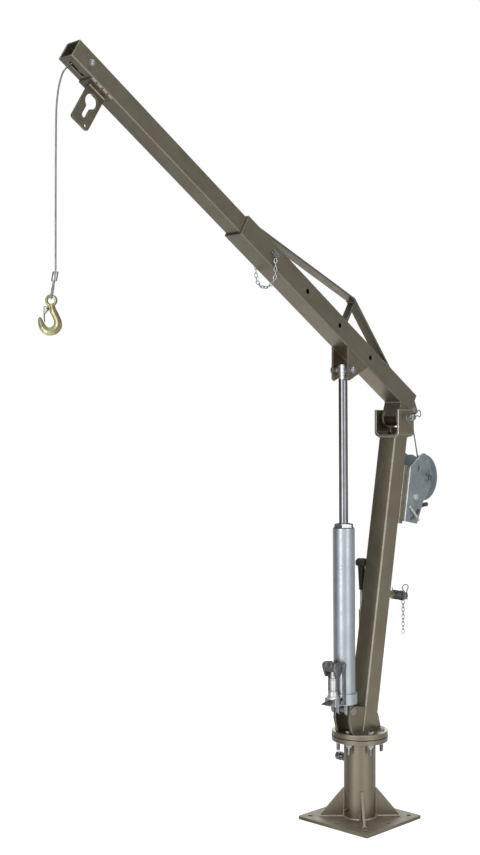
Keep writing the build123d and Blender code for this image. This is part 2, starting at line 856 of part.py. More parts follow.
with BuildPart() as outer_boom:
    with BuildSketch(boom_across(outer_rear)):
        with Locations((0, boom_rise)):
            RectangleRounded(outer_side, outer_side, 4)
            Rectangle(outer_side - 2 * outer_wall, outer_side - 2 * outer_wall, mode=Mode.SUBTRACT)
    extrude(amount=outer_front - outer_rear)
    with BuildSketch(boom_plane):
        with Locations([(lock_hole_s - step * lock_pitch, boom_rise) for step in range(4)]):
            Circle(lock_r + running_gap)
    extrude(amount=outer_half + 1, both=True, mode=Mode.SUBTRACT)
    with BuildSketch(boom_across(outer_rear)):
        with Locations((0, boom_low + outer_wall / 2)):
            Rectangle(20, outer_wall + 2)
    extrude(amount=22, mode=Mode.SUBTRACT)
outer_boom.part.label = "outer_boom"

web_top = 44.0
axle_small = 6.0
rear_axle_plane = side(sheave_xz[0], sheave_xz[1])
heel_in = outer_half - ear_thick
barrel_r = 26.0
boss_r = 16.0
boss_reach = clevis_inside / 2 - 0.3
web_foot = (ear_r * 0.9, -ear_r * 0.42)
with BuildPart() as boom_heel:
    for y in (outer_half, -heel_in):
        with BuildSketch(at_y(boom_plane, y)):
            Circle(ear_r)
            with BuildLine():
                Polyline(
                    (web_top, boom_low),
                    (outer_rear, boom_low),
                    (outer_rear, boom_rise + 12),
                    (rear_sheave_s - 17, rear_sheave_v + 10),
                    (-ear_r, -2),
                    (0, -10),
                    web_foot,
                    close=True,
                )
            make_face()
        extrude(amount=ear_thick)
    with BuildSketch(at_y(boom_plane, outer_half)):
        with BuildLine():
            Polyline(
                (web_top, boom_low),
                (web_top - thin_plate, boom_low),
                (web_foot[0] - thin_plate, web_foot[1]),
                web_foot,
                close=True,
            )
        make_face()
        Circle(barrel_r)
    extrude(amount=outer_side)
    bar(pivot_plane, boss_r, -boss_reach, boss_reach)
    with BuildSketch(at_y(boom_plane, outer_half)):
        with Locations(((outer_rear + web_top) / 2, boom_rise)):
            Rectangle(web_top - outer_rear, outer_side)
    extrude(amount=outer_side, mode=Mode.SUBTRACT)
    bore(pivot_plane, pivot_r + running_gap, boss_reach + 1)
    bore(rear_axle_plane, axle_small + running_gap, outer_half + 1)
boom_heel.part.label = "boom_heel"

lug_in = outer_half - thin_plate
with BuildPart() as jack_lugs:
    for y in (outer_half, -lug_in):
        with BuildSketch(at_y(boom_plane, y)):
            with BuildLine():
                Polyline(
                    (lug_s + 51, boom_low),
                    (lug_s - 1, lug_v - 33.5),
                    (lug_s - 11, lug_v - 34),
                    (lug_s - 67, boom_low),
                    close=True,
                )
            make_face()
        extrude(amount=thin_plate)
    with BuildSketch(boom_plane):
        with Locations((lug_s, lug_v)):
            Circle(lug_pin_r + running_gap)
    extrude(amount=outer_half + 1, both=True, mode=Mode.SUBTRACT)
jack_lugs.part.label = "jack_lugs"

front_slope = atan2(truss_high, truss_front - truss_apex)
rear_slope = atan2(truss_high, truss_apex - truss_rear)
front_cut = truss_front - thin_plate / sin(front_slope)
rear_cut = truss_rear + thin_plate / sin(rear_slope)
under_s = (front_cut * tan(front_slope) + rear_cut * tan(rear_slope)) / (tan(front_slope) + tan(rear_slope))
under_v = (front_cut - under_s) * tan(front_slope)
bend_in = 8.0
with BuildPart() as boom_truss:
    with BuildSketch(boom_plane):
        with BuildLine():
            FilletPolyline(
                (truss_front, boom_high),
                (truss_apex, boom_high + truss_high),
                (truss_rear, boom_high),
                radius=bend_in + thin_plate,
            )
            Line((truss_rear, boom_high), (rear_cut, boom_high))
            FilletPolyline(
                (rear_cut, boom_high),
                (under_s, boom_high + under_v),
                (front_cut, boom_high),
                radius=bend_in,
            )
            Line((front_cut, boom_high), (truss_front, boom_high))
        make_face()
    extrude(amount=truss_wide / 2, both=True)
    strut_from = strut_s - thin_plate / 2
    strut_to = strut_s + thin_plate / 2
    with BuildSketch(boom_plane):
        with BuildLine():
            Polyline(
                (strut_from, boom_high),
                (strut_to, boom_high),
                (strut_to, boom_high + (strut_to - rear_cut) * tan(rear_slope)),
                (strut_from, boom_high + (strut_from - rear_cut) * tan(rear_slope)),
                close=True,
            )
        make_face()
    extrude(amount=strut_wide / 2, both=True)
boom_truss.part.label = "boom_truss"

lug_x, lug_z = boom_at(lug_s, lug_v)
lug_plane = side(lug_x, lug_z)
ram_head_half = 15.0
with BuildPart() as lug_pin:
    bar(lug_plane, lug_pin_r, -outer_half - 3, outer_half + 14)
    bar(lug_plane, lug_pin_r + 4, -outer_half - 9, -outer_half)
    ring(lug_plane, lug_pin_r + 4, lug_pin_r, outer_half, outer_half + 3)
    hexagon_bar(lug_plane, 2.9 * lug_pin_r, outer_half + 3, outer_half + 11)
    ring(lug_plane, lug_pin_r + 4, lug_pin_r, ram_head_half + 0.5, lug_in)
    ring(lug_plane, lug_pin_r + 4, lug_pin_r, -lug_in, -ram_head_half - 0.5)
lug_pin.part.label = "lug_pin"

lock_x, lock_z = boom_at(lock_hole_s, boom_rise)
lock_plane = side(lock_x, lock_z)
lock_clear = inner_half + 0.4
lock_end = outer_half + 9.0
lock_head = -outer_half - 14.0
clip_y = outer_half + 5.0
lock_back = (-cos(pitch), 0, -sin(pitch))
lock_up = (-sin(pitch), 0, cos(pitch))
lock_clip = hairpin((lock_x, clip_y, lock_z), lock_back, lock_up, lock_r, 6.0)
with BuildPart() as lock_pin:
    bar(lock_plane, lock_r, lock_clear, lock_end)
    bar(lock_plane, lock_r, lock_head, -lock_clear)
    bar(lock_plane, lock_r + 4, lock_head, lock_head + 3)
    with BuildSketch(Plane(origin=(lock_x, clip_y, lock_z), x_dir=(0, 1, 0), z_dir=boom_dir)):
        Circle(1.7)
    extrude(amount=lock_r + 1, both=True, mode=Mode.SUBTRACT)
    add(lock_clip.part)
lock_pin.part.label = "lock_pin"

# Chain hanging from both ends of the lock pin, as a U under the boom
hang_half = 39.5
hang_straight = 40.0
hang_turn = 10
turn_step = pi / hang_turn
hang_r = link_pitch / 2 / sin(turn_step / 2)
straight_links = int(hang_straight / link_pitch)
lean_in = (hang_half - hang_r) / (straight_links * link_pitch)
drop = lock_r + link_long / 2 + running_gap
chain_spots = []
for step in range(straight_links):
    chain_spots.append((hang_half - lean_in * step * link_pitch, -drop - step * link_pitch))
bend_z = -drop - straight_links * link_pitch
for step in range(hang_turn + 1):
    way = -step * turn_step
    chain_spots.append((hang_r * cos(way), bend_z + hang_r * sin(way)))
for step in range(straight_links):
    back = straight_links - 1 - step
    chain_spots.append((-hang_half + lean_in * back * link_pitch, -drop - back * link_pitch))
with BuildPart() as lock_chain:
    for step, spot in enumerate(chain_spots):
        before = chain_spots[max(step - 1, 0)]
        after = chain_spots[min(step + 1, len(chain_spots) - 1)]
        run_y = after[0] - before[0]
        run_z = after[1] - before[1]
        along = (0, run_y / hypot(run_y, run_z), run_z / hypot(run_y, run_z))
        flat = (1, 0, 0) if step % 2 == 0 else (0, -along[2], along[1])
        chain_link((lock_x, spot[0], lock_z + spot[1]), along, flat)
lock_chain.part.label = "lock_chain"


def sheave(place, groove, rim, half_wide, hub_r, hub_half, hole):
    """A grooved rope wheel with a long hub, turned about Y."""
    with BuildPart() as piece:
        with BuildSketch(Plane(origin=place.origin, x_dir=(1, 0, 0), z_dir=(0, 0, 1))):
            with BuildLine():
                Polyline(
                    (hole, -hub_half),
                    (hub_r, -hub_half),
                    (hub_r, -half_wide),
                    (rim, -half_wide),
                    (rim, -half_wide + 1.5),
                    (groove - rope_r - 0.3, -rope_r * 0.8),
                    (groove - rope_r - 0.3, rope_r * 0.8),
                    (rim, half_wide - 1.5),
                    (rim, half_wide),
                    (hub_r, half_wide),
                    (hub_r, hub_half),
                    (hole, hub_half),
                    close=True,
                )
            make_face()
        revolve(axis=Axis(place.origin, (0, 1, 0)))
    return piece


rear_sheave = sheave(
    rear_axle_plane, rear_groove, rear_groove + 3.5, 7.0, 11.0, heel_in - 0.5, axle_small + running_gap
)
rear_sheave.part.label = "rear_sheave"

rivet_head = 2.5
with BuildPart() as rear_sheave_axle:
    bar(rear_axle_plane, axle_small, -outer_half, outer_half)
    bar(rear_axle_plane, axle_small + 3, outer_half, outer_half + rivet_head)
    bar(rear_axle_plane, axle_small + 3, -outer_half - rivet_head, -outer_half)
rear_sheave_axle.part.label = "rear_sheave_axle"

run_v = tip_sheave_v + tip_groove
top_way = pi / 2 + pitch
wrap_half = (touch_way + top_way) / 2
wrap_spots = [
    (sheave_xz[0] + rear_groove * cos(way), 0, sheave_xz[1] + rear_groove * sin(way))
    for way in (touch_way, wrap_half, top_way)
]
run_end = boom_at(inner_tail + 6, rear_sheave_v + rear_groove)
with BuildPart() as rope_heel_run:
    with BuildLine() as run:
        ThreePointArc(*wrap_spots)
        Line(wrap_spots[2], (run_end[0], 0, run_end[1]))
    with BuildSketch(Plane(origin=run.line @ 0, z_dir=run.line % 0)):
        Circle(rope_r)
    sweep()
rope_heel_run.part.label = "rope_heel_run"

# Sliding boom end
tip_xz = boom_at(tip_sheave_s, tip_sheave_v)
tip_plane = side(tip_xz[0], tip_xz[1])
tip_axle_r = 5.0
with BuildPart() as inner_boom:
    with BuildSketch(boom_across(inner_tail)):
        with Locations((0, boom_rise)):
            RectangleRounded(inner_side, inner_side, 4)
            Rectangle(inner_side - 2 * inner_wall, inner_side - 2 * inner_wall, mode=Mode.SUBTRACT)
    extrude(amount=inner_tip - inner_tail)
    with BuildSketch(boom_plane):
        with Locations((lock_hole_s, boom_rise)):
            Circle(lock_r + 0.5)
    extrude(amount=inner_half + 1, both=True, mode=Mode.SUBTRACT)
    bore(tip_plane, tip_axle_r + running_gap, inner_half + 1)
    low_x, low_z = boom_at((slot_from + slot_to) / 2, boom_rise - inner_half)
    with BuildSketch(Plane(origin=(low_x, 0, low_z), x_dir=boom_dir, z_dir=(-sin(pitch), 0, cos(pitch)))):
        SlotOverall(slot_to - slot_from, slot_wide)
    extrude(amount=inner_wall + 1, both=True, mode=Mode.SUBTRACT)
inner_boom.part.label = "inner_boom"

stow_s = 1537.0
stow_wide = 62.0
stow_low = 141.8
key_drop = 66.0
key_r = 20.0
key_long = 52.0
key_slot = 14.0
pad_thick = 5.0
pad_low = boom_rise - inner_half - pad_thick
with BuildPart() as hook_bracket:
    with BuildSketch(boom_plane):
        with Locations((stow_s, (pad_low + boom_rise - stow_low) / 2)):
            RectangleRounded(stow_wide, pad_low - boom_rise + stow_low, 8)
        with Locations((stow_s, pad_low - 10)):
            Rectangle(stow_wide, 20)
        with Locations((stow_s, boom_rise - key_drop)):
            Circle(key_r, mode=Mode.SUBTRACT)
        with Locations((stow_s, boom_rise - key_drop - key_long / 2)):
            SlotOverall(key_long, key_slot, rotation=90, mode=Mode.SUBTRACT)
        fillet(vertices().sort_by_distance((stow_s, boom_rise - key_drop - key_r))[0:2], 5)
        with Locations((stow_s - 18, boom_rise - 131.5)):
            Circle(4.5, mode=Mode.SUBTRACT)
    extrude(amount=thin_plate / 2, both=True)
    with BuildSketch(boom_plane):
        with Locations((stow_s + 2, pad_low + pad_thick / 2)):
            Rectangle(stow_wide + 23, pad_thick)
    extrude(amount=inner_half - 3, both=True)
hook_bracket.part.label = "hook_bracket"

tip_sheave = sheave(
    tip_plane, tip_groove, tip_groove + 2.5, 6.0, 9.0, inner_half - inner_wall - 0.5, tip_axle_r + running_gap
)
tip_sheave.part.label = "tip_sheave"

with BuildPart() as tip_axle:
    bar(tip_plane, tip_axle_r, -inner_half - 1, inner_half + 10)
    hexagon_bar(tip_plane, 15.0, -inner_half - 6, -inner_half)
    ring(tip_plane, 9.0, tip_axle_r, inner_half, inner_half + 2)
    hexagon_bar(tip_plane, 15.0, inner_half + 2, inner_half + 8)
tip_axle.part.label = "tip_axle"

# Rope over the tip sheave to the point below the slot where the hanging rope starts
leave_way = radians(90 - rope_exit_turn)
leave = (tip_sheave_s + tip_groove * cos(leave_way), tip_sheave_v + tip_groove * sin(leave_way))
fall = (leave[1] - (boom_rise - inner_half - 2)) / cos(leave_way)
hang_s = leave[0] + fall * sin(leave_way)
hang_v = leave[1] - fall * cos(leave_way)
hang_x, hang_z = boom_at(hang_s, hang_v)
out_angle = pitch - radians(rope_exit_turn)
out_way = (cos(out_angle), sin(out_angle))
arc_mid = (pi / 2 + leave_way) / 2
tip_spots = []
for way in (pi / 2, arc_mid, leave_way):
    x, z = boom_at(tip_sheave_s + tip_groove * cos(way), tip_sheave_v + tip_groove * sin(way))
    tip_spots.append((x, 0, z))
tail_x, tail_z = boom_at(inner_tail + 10, run_v)
with BuildPart() as rope_tip_run:
    with BuildLine() as run:
        Line((tail_x, 0, tail_z), tip_spots[0])
        ThreePointArc(*tip_spots)
        Line(tip_spots[2], (hang_x, 0, hang_z))
    with BuildSketch(Plane(origin=run.line @ 0, z_dir=run.line % 0)):
        Circle(rope_r)
    sweep()
rope_tip_run.part.label = "rope_tip_run"

# Hanging rope
hang_route = [
    (hang_x, 0, hang_z),
    (hang_x + 24 * out_way[0], 0, hang_z + 24 * out_way[1]),
    (hang_x + 33, 0, hang_z - 42),
    (hang_x + 43, 0, hang_z - 85),
    (hook_x, 0, hang_z - 152),
    (hook_x, 0, ferrule_top),
]
hang_radii = bend_radii(hang_route)
print("hanging rope bend radii:", [round(r, 1) for r in hang_radii])
hanging_rope = wire(hang_route, rope_r, hang_radii)
hanging_rope.part.label = "hanging_rope"

# The hook's own plane: local x across the hook, local y up, looking along the rope eye's bar
turn = radians(hook_turn)
hook_across = (cos(turn), sin(turn), 0)
hook_normal = (sin(turn), -cos(turn), 0)
tilt = radians(eye_lean)
eye_up = (sin(tilt) * hook_across[0], sin(tilt) * hook_across[1], cos(tilt))
eye_face = (-cos(tilt) * hook_across[0], -cos(tilt) * hook_across[1], sin(tilt))
eye_plane = Plane(origin=(hook_x, 0, ferrule_top), x_dir=hook_normal, z_dir=eye_face)


def below_ferrule(drop):
    """Point on the leaning line of the rope eye, a distance below the ferrule's top."""
    return (hook_x - drop * eye_up[0], -drop * eye_up[1], ferrule_top - drop * eye_up[2])


with BuildPart() as rope_ferrule:
    with BuildSketch(Plane(origin=below_ferrule(ferrule_high), x_dir=hook_normal, z_dir=eye_up)):
        SlotOverall(16, 10.5)
    extrude(amount=ferrule_high)
rope_ferrule.part.label = "rope_ferrule"

strand_gap = 2.7
eye_low = ferrule_high + eye_drop
eye_route = [
    (strand_gap, -ferrule_high),
    (strand_gap, -ferrule_high - 6),
    (eye_bend, -ferrule_high - 22),
    (eye_bend, -eye_low),
    (-eye_bend, -eye_low),
    (-eye_bend, -ferrule_high - 22),
    (-strand_gap, -ferrule_high - 6),
    (-strand_gap, -ferrule_high),
]
with BuildPart() as rope_eye:
    with BuildLine(eye_plane) as run:
        FilletPolyline(*eye_route, radius=[8, 12, eye_bend * 0.98, eye_bend * 0.98, 12, 8])
    with BuildSketch(Plane(origin=run.line @ 0, z_dir=run.line % 0)):
        Circle(rope_r)
    sweep()
rope_eye.part.label = "rope_eye"

eye_x, eye_y, eye_z = below_ferrule(eye_low)
hook_plane = Plane(
    origin=(eye_x, eye_y, eye_z + rope_r + 0.3 - hook_hole), x_dir=hook_across, z_dir=hook_normal
)
hook_half = 6.5
latch_u = -9.2
latch_w = -20.5
with BuildPart() as hook:
    with BuildSketch(hook_plane):
        with BuildLine():
            Line((8.5, -11), (9.5, -16))
            ThreePointArc((9.5, -16), (19.5, -36), (27.5, -58))
            ThreePointArc((27.5, -58), (-2.5, -88.5), (-32, -60))
            Line((-32, -60), (-33, -46))
            ThreePointArc((-33, -46), (-30, -41), (-25, -43))
            Line((-25, -43), (-17, -58))
            ThreePointArc((-17, -58), (-4, -68), (7.5, -57))
            ThreePointArc((7.5, -57), (4, -43), (-4, -29))
            Line((-4, -29), (-4, -11))
            Line((-4, -11), (8.5, -11))
        make_face()
    extrude(amount=hook_half, both=True)
    chamfer(faces().filter_by(Axis((0, 0, 0), hook_normal)).edges(), 2.6)
    with BuildSketch(hook_plane):
        Circle(15.5)
    extrude(amount=4.5, both=True)
    with BuildSketch(hook_plane):
        with BuildLine():
            Polyline((-3, -14), (-11, -15), (-13, -21), (-8, -25), (-3, -27), close=True)
        make_face()
    extrude(amount=2.5, both=True)
    with BuildSketch(hook_plane):
        Circle(hook_hole)
    extrude(amount=10, both=True, mode=Mode.SUBTRACT)
    chamfer(round_edges(hook_hole), 2.4)
    with BuildSketch(hook_plane):
        with Locations((latch_u, latch_w)):
            Circle(1.6)
    extrude(amount=10, both=True, mode=Mode.SUBTRACT)
hook.part.label = "hook"

latch_half = 4.4
with BuildPart() as hook_latch:
    with BuildSketch(hook_plane):
        with BuildLine():
            Polyline((-18.4, -15), (-16.8, -15), (-16.8, -52), (-18.4, -52), close=True)
        make_face()
    extrude(amount=latch_half, both=True)
    for shift in (latch_half, -2.8):
        with BuildSketch(hook_plane.offset(shift)):
            with BuildLine():
                Polyline((-18.4, -15), (-9, -15), (-6, -18), (-6, -22), (-9, -25.5), (-18.4, -34), close=True)
            make_face()
        extrude(amount=-(latch_half - 2.8))
    with BuildSketch(hook_plane):
        with Locations((latch_u, latch_w)):
            Circle(1.5)
    extrude(amount=latch_half + 1, both=True)
hook_latch.part.label = "hook_latch"

# Jack, in its own directions from the jack pin: x to the front, y along the jack
jack_lean = degrees(atan2(lug_x - jack_pin_x, lug_z - jack_pin_z))
jack_plane = side(jack_pin_x, jack_pin_z, -jack_lean)
jack_up = (sin(radians(jack_lean)), 0, cos(radians(jack_lean)))
jack_front = (cos(radians(jack_lean)), 0, -sin(radians(jack_lean)))
jack_axis = Axis((jack_pin_x, 0, jack_pin_z), jack_up)
jack_long = hypot(lug_x - jack_pin_x, lug_z - jack_pin_z)


def jack_at(x, h):
    """World X and Z of a point x in front of the jack's axis and h along it from its pin."""
    return (
        jack_pin_x + x * jack_front[0] + h * jack_up[0],
        jack_pin_z + x * jack_front[2] + h * jack_up[2],
    )


def jack_level(h, x=0.0):
    """Plane across the jack at a height: local x to the front, local y is Y."""
    px, pz = jack_at(x, h)
    return Plane(origin=(px, 0, pz), x_dir=jack_front, z_dir=jack_up)


collar_low = 22.0
collar_r = 41.0
pump_top = 63.0
valve_h = 35.0
valve_r = 4.5
block_front = 71.0
block_half = 22.0
ear_in = 11.0
ear_far = 23.0
with BuildPart() as jack_base:
    with BuildSketch(jack_level(collar_low)):
        Circle(collar_r)
    extrude(amount=jack_tube_from - collar_low)
    with BuildSketch(jack_level(collar_low)):
        with Locations((block_front / 2, 0)):
            Rectangle(block_front, 2 * block_half)
    extrude(amount=26)
    with BuildSketch(jack_level(collar_low, pump_x)):
        Circle(13)
    extrude(amount=pump_top - collar_low)
    for y in (ear_far, -ear_in):
        with BuildSketch(at_y(jack_plane, y)):
            Circle(17)
            with Locations((0, collar_low / 2)):
                Rectangle(34, collar_low)
        extrude(amount=ear_far - ear_in)
    bore(jack_pin_plane, jack_pin_r + running_gap, ear_far + 1)
    valve_x, valve_z = jack_at(block_front, valve_h)
    with BuildSketch(Plane(origin=(valve_x, 0, valve_z), x_dir=(0, 1, 0), z_dir=jack_front)):
        Circle(valve_r + running_gap)
    extrude(amount=-12, mode=Mode.SUBTRACT)
    with BuildSketch(jack_level(pump_top - 30, pump_x)):
        Circle(8 + running_gap)
    extrude(amount=40, mode=Mode.SUBTRACT)
jack_base.part.label = "jack_base"

with BuildPart() as jack_cylinder:
    with BuildSketch(jack_level(jack_tube_from)):
        Circle(jack_r)
        Circle(jack_r - jack_wall, mode=Mode.SUBTRACT)
    extrude(amount=jack_tube_to - jack_tube_from)
    screw_place = jack_level(jack_tube_to - 123)
    with BuildSketch(Plane(origin=screw_place.origin, x_dir=jack_up, z_dir=(0.56, 0.83, 0))):
        Circle(5)
    extrude(amount=jack_r + 1.5)
    with BuildSketch(jack_level(jack_tube_from)):
        Circle(jack_r - jack_wall)
    extrude(amount=jack_tube_to - jack_tube_from, mode=Mode.SUBTRACT)
jack_cylinder.part.label = "jack_cylinder"

ram_hole = ram_r + ram_play
gland_r = 32.0
with BuildPart() as gland_nut:
    turned(
        jack_plane,
        [
            (ram_hole, jack_tube_to),
            (gland_r, jack_tube_to),
            (gland_r, gland_top - 4),
            (gland_r - 4, gland_top),
            (ram_hole, gland_top),
        ],
        jack_axis,
    )
gland_nut.part.label = "gland_nut"

head_from = jack_long - 27.0
head_to = jack_long + 16.0
with BuildPart() as ram_rod:
    with BuildSketch(jack_level(ram_low)):
        Circle(ram_r)
    extrude(amount=head_from - ram_low)
    with BuildSketch(jack_level(ram_low)):
        Circle(ram_r + 6)
    extrude(amount=18)
    with BuildSketch(jack_level(head_from)):
        Circle(ram_head_r)
    extrude(amount=head_to - head_from)
    bore(lug_plane, lug_pin_r + running_gap, ram_head_r + 1)
ram_rod.part.label = "ram_rod"

link_in = 27.0
rocker_pin_r = 4.0
link_thick = 4.0
with BuildPart() as pump_links:
    for y in (link_in + link_thick, -link_in):
        with BuildSketch(at_y(jack_plane, y)):
            with BuildLine():
                Polyline(
                    (rocker_x - 7, rocker_h + 7),
                    (rocker_x + 7, rocker_h + 7),
                    (rocker_x + 8, rocker_h - 25),
                    (44, collar_low + 4),
                    (30, collar_low + 4),
                    (rocker_x - 7, rocker_h - 25),
                    close=True,
                )
            make_face()
            with Locations((rocker_x, rocker_h)):
                Circle(rocker_pin_r + running_gap, mode=Mode.SUBTRACT)
        extrude(amount=link_thick)
    for y in (link_in, -block_half):
        with BuildSketch(at_y(jack_plane, y)):
            with Locations((43, collar_low + 11)):
                Circle(6)
        extrude(amount=link_in - block_half)
    with BuildSketch(jack_level(collar_low)):
        Circle(collar_r)
    extrude(amount=jack_tube_from - collar_low, mode=Mode.SUBTRACT)
pump_links.part.label = "pump_links"

arm_in = 21.5
arm_out = link_in - 0.5
rocker_x_w, rocker_z_w = jack_at(rocker_x, rocker_h)
rocker_plane = side(rocker_x_w, rocker_z_w, -jack_lean)
pin_x = pump_x - rocker_x
pin_h = -6.0
socket_r = 8.4
socket_turn = 24.0
socket_long = 16.0
with BuildPart() as pump_rocker:
    for y in (arm_out, -arm_in):
        with BuildSketch(at_y(rocker_plane, y)):
            Circle(8)
            with BuildLine():
                Polyline(
                    (-5, -6),
                    (pin_x - 5, pin_h - 28),
                    (pin_x + 12, pin_h - 32),
                    (pin_x + 22, -5),
                    (pin_x + 22, 8),
                    (0, 8),
                    close=True,
                )
            make_face()
            with Locations((pin_x + 1.5, pin_h + 0.5)):
                SlotOverall(14, 10.5, mode=Mode.SUBTRACT)
        extrude(amount=arm_out - arm_in)
    bar(rocker_plane, rocker_pin_r, arm_in + 1, link_in + link_thick + 2)
    bar(rocker_plane, rocker_pin_r, -link_in - link_thick - 2, -arm_in - 1)
    with BuildSketch(at_y(rocker_plane, arm_in)):
        with Locations((pin_x + 18, 2)):
            Rectangle(10, 14)
    extrude(amount=2 * arm_in)
    socket_x, socket_z = jack_at(rocker_x + pin_x + 17, rocker_h + 1)
    socket_way = radians(socket_turn)
    socket_plane = Plane(
        origin=(socket_x, 0, socket_z), x_dir=(0, 1, 0), z_dir=(cos(socket_way), 0, sin(socket_way))
    )
    with BuildSketch(socket_plane):
        Circle(socket_r + 4.6)
    extrude(amount=socket_long)
    with BuildSketch(socket_plane.offset(4)):
        Circle(socket_r)
    extrude(amount=socket_long, mode=Mode.SUBTRACT)
pump_rocker.part.label = "pump_rocker"

piston_r = 8.0
pin_x_w, pin_z_w = jack_at(pump_x, rocker_h + pin_h)
with BuildPart() as pump_piston:
    with BuildSketch(jack_level(pump_top - 14, pump_x)):
        Circle(piston_r)
    extrude(amount=rocker_h + pin_h + 7 - pump_top + 14)
    bar(side(pin_x_w, pin_z_w), 3.5, -arm_in - 3, arm_in + 3)
pump_piston.part.label = "pump_piston"

valve_plane = Plane(origin=(valve_x, 0, valve_z), x_dir=(0, 1, 0), z_dir=jack_front)
with BuildPart() as release_valve:
    with BuildSketch(valve_plane.offset(-10)):
        Circle(valve_r)
    extrude(amount=24)
    with BuildSketch(valve_plane.offset(2)):
        Circle(valve_r + 3)
    extrude(amount=5)
    with BuildSketch(side(valve_x, valve_z, -jack_lean)):
        with BuildLine():
            Polyline((10, -4.5), (17, -4.5), (37, -1), (37, 1), (17, 4.5), (10, 4.5), close=True)
        make_face()
    extrude(amount=6, both=True)
release_valve.part.label = "release_valve"

for piece in (
    base_plate, base_column, base_gussets, column_bushes, grease_nipple, swivel_lock_screw,
    spindle, swivel_flange, mast_flange, flange_bolts,
    mast_tube, mast_foot_plates, mast_head, jack_pin, pivot_pin, pivot_clip,
    winch_bracket, winch_frame, winch_bolts, drum_axle, winch_drum, drum_gear, rope_winding,
    pinion_shaft, pawl, handle_post, post_clip, post_chain, handle_socket, stow_handle, handle_grip,
    rope_mast_run, outer_boom, boom_heel, jack_lugs, boom_truss, lug_pin, lock_pin, lock_chain,
    rear_sheave, rear_sheave_axle, rope_heel_run, inner_boom, hook_bracket, tip_sheave, tip_axle,
    rope_tip_run, hanging_rope, rope_ferrule, rope_eye, hook, hook_latch,
    jack_base, jack_cylinder, gland_nut, ram_rod, pump_links, pump_rocker, pump_piston, release_valve,
):
    export_step(piece.part, f"parts/{piece.part.label}.step")
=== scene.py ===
"""Looks of the truck jib crane: camera, light, ropes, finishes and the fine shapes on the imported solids.

Metres, in the same frame as the solids: +Z up, the boom in the plane Y = 0 pointing to +X.
Sizes of pieces are written in millimetres and turned to metres by MM.
"""

import math

import bmesh
import bpy
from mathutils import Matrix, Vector


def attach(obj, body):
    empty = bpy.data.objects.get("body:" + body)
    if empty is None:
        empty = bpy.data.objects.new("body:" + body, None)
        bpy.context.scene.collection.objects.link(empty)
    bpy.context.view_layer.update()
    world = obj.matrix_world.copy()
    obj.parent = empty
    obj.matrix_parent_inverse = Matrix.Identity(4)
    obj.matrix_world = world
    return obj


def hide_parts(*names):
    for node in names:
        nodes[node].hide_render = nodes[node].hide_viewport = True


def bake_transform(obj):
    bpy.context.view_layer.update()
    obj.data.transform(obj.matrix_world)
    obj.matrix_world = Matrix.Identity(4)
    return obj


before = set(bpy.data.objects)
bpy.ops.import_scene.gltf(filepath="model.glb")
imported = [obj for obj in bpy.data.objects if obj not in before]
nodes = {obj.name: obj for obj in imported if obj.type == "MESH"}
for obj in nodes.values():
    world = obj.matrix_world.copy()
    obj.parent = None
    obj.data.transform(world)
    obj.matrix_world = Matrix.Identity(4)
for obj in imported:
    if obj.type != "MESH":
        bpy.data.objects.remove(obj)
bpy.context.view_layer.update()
scene = bpy.context.scene
MM = 0.001
UP = Vector((0, 0, 1))
NEAR = Vector((0, 1, 0))
FAR = Vector((0, -1, 0))

# The object's own directions and angles
LEAN = math.radians(10.22)
PITCH = math.radians(31.72)
JACK_LEAN = math.radians(0.4234)
EYE_LEAN = math.radians(9.5)
HOOK_TURN = math.radians(133.93)
MAST_UP = Vector((-math.sin(LEAN), 0, math.cos(LEAN)))
MAST_BACK = Vector((-math.cos(LEAN), 0, -math.sin(LEAN)))
BOOM_ALONG = Vector((math.cos(PITCH), 0, math.sin(PITCH)))
BOOM_UP = Vector((-math.sin(PITCH), 0, math.cos(PITCH)))
JACK_UP = Vector((math.sin(JACK_LEAN), 0, math.cos(JACK_LEAN)))
JACK_FRONT = Vector((math.cos(JACK_LEAN), 0, -math.sin(JACK_LEAN)))
HOOK_ACROSS = Vector((math.cos(HOOK_TURN), math.sin(HOOK_TURN), 0))
HOOK_NORMAL = Vector((math.sin(HOOK_TURN), -math.cos(HOOK_TURN), 0))
EYE_UP = math.sin(EYE_LEAN) * HOOK_ACROSS + math.cos(EYE_LEAN) * UP

# Its main places in millimetres: x and z in the plane Y = 0, or x, y and z
MAST_FOOT = -9.6, 288
PIVOT = -197, 1292
LUG_PIN = 84.97, 1441.01
JACK_PIN = 77, 362
TIP_PIN = 1130.68, 2189.05
DRUM_X, DRUM_Z = DRUM = -310, 1090
HOOK_EYE = 1231.672, -7.964, 1578.119
SLEEVE_TOP = 1224, 0, 1650


def mm(x, y, z):
    """A point given in millimetres."""
    return Vector((x * MM, y * MM, z * MM))


def beside(place, y=0.0):
    """A point at a place given as x and z, and sideways."""
    x, z = place
    return mm(x, y, z)


def mast_at(f, h, y=0.0):
    """A point in front of the mast's axis, along it from its foot, and sideways."""
    return beside(MAST_FOOT, y) + MM * (h * MAST_UP - f * MAST_BACK)


def boom_at(s, v, y=0.0):
    """A point along the boom from its pivot, above the pivot, and sideways."""
    return beside(PIVOT, y) + MM * (s * BOOM_ALONG + v * BOOM_UP)


def jack_at(x, h, y=0.0):
    """A point in front of the jack's axis, along it from its pin, and sideways."""
    return beside(JACK_PIN, y) + MM * (x * JACK_FRONT + h * JACK_UP)


def hook_at(u, w, n=0.0):
    """A point across the hook, above its eye's centre, and out of its plane."""
    return mm(*HOOK_EYE) + MM * (u * HOOK_ACROSS + w * UP + n * HOOK_NORMAL)


def eye_at(u, drop):
    """A point sideways of the rope eye's leaning line, below the sleeve's top."""
    return mm(*SLEEVE_TOP) + MM * (u * HOOK_NORMAL - drop * EYE_UP)


def add_object(name, data):
    """A new object in the scene."""
    made = bpy.data.objects.new(name, data)
    scene.collection.objects.link(made)
    return made


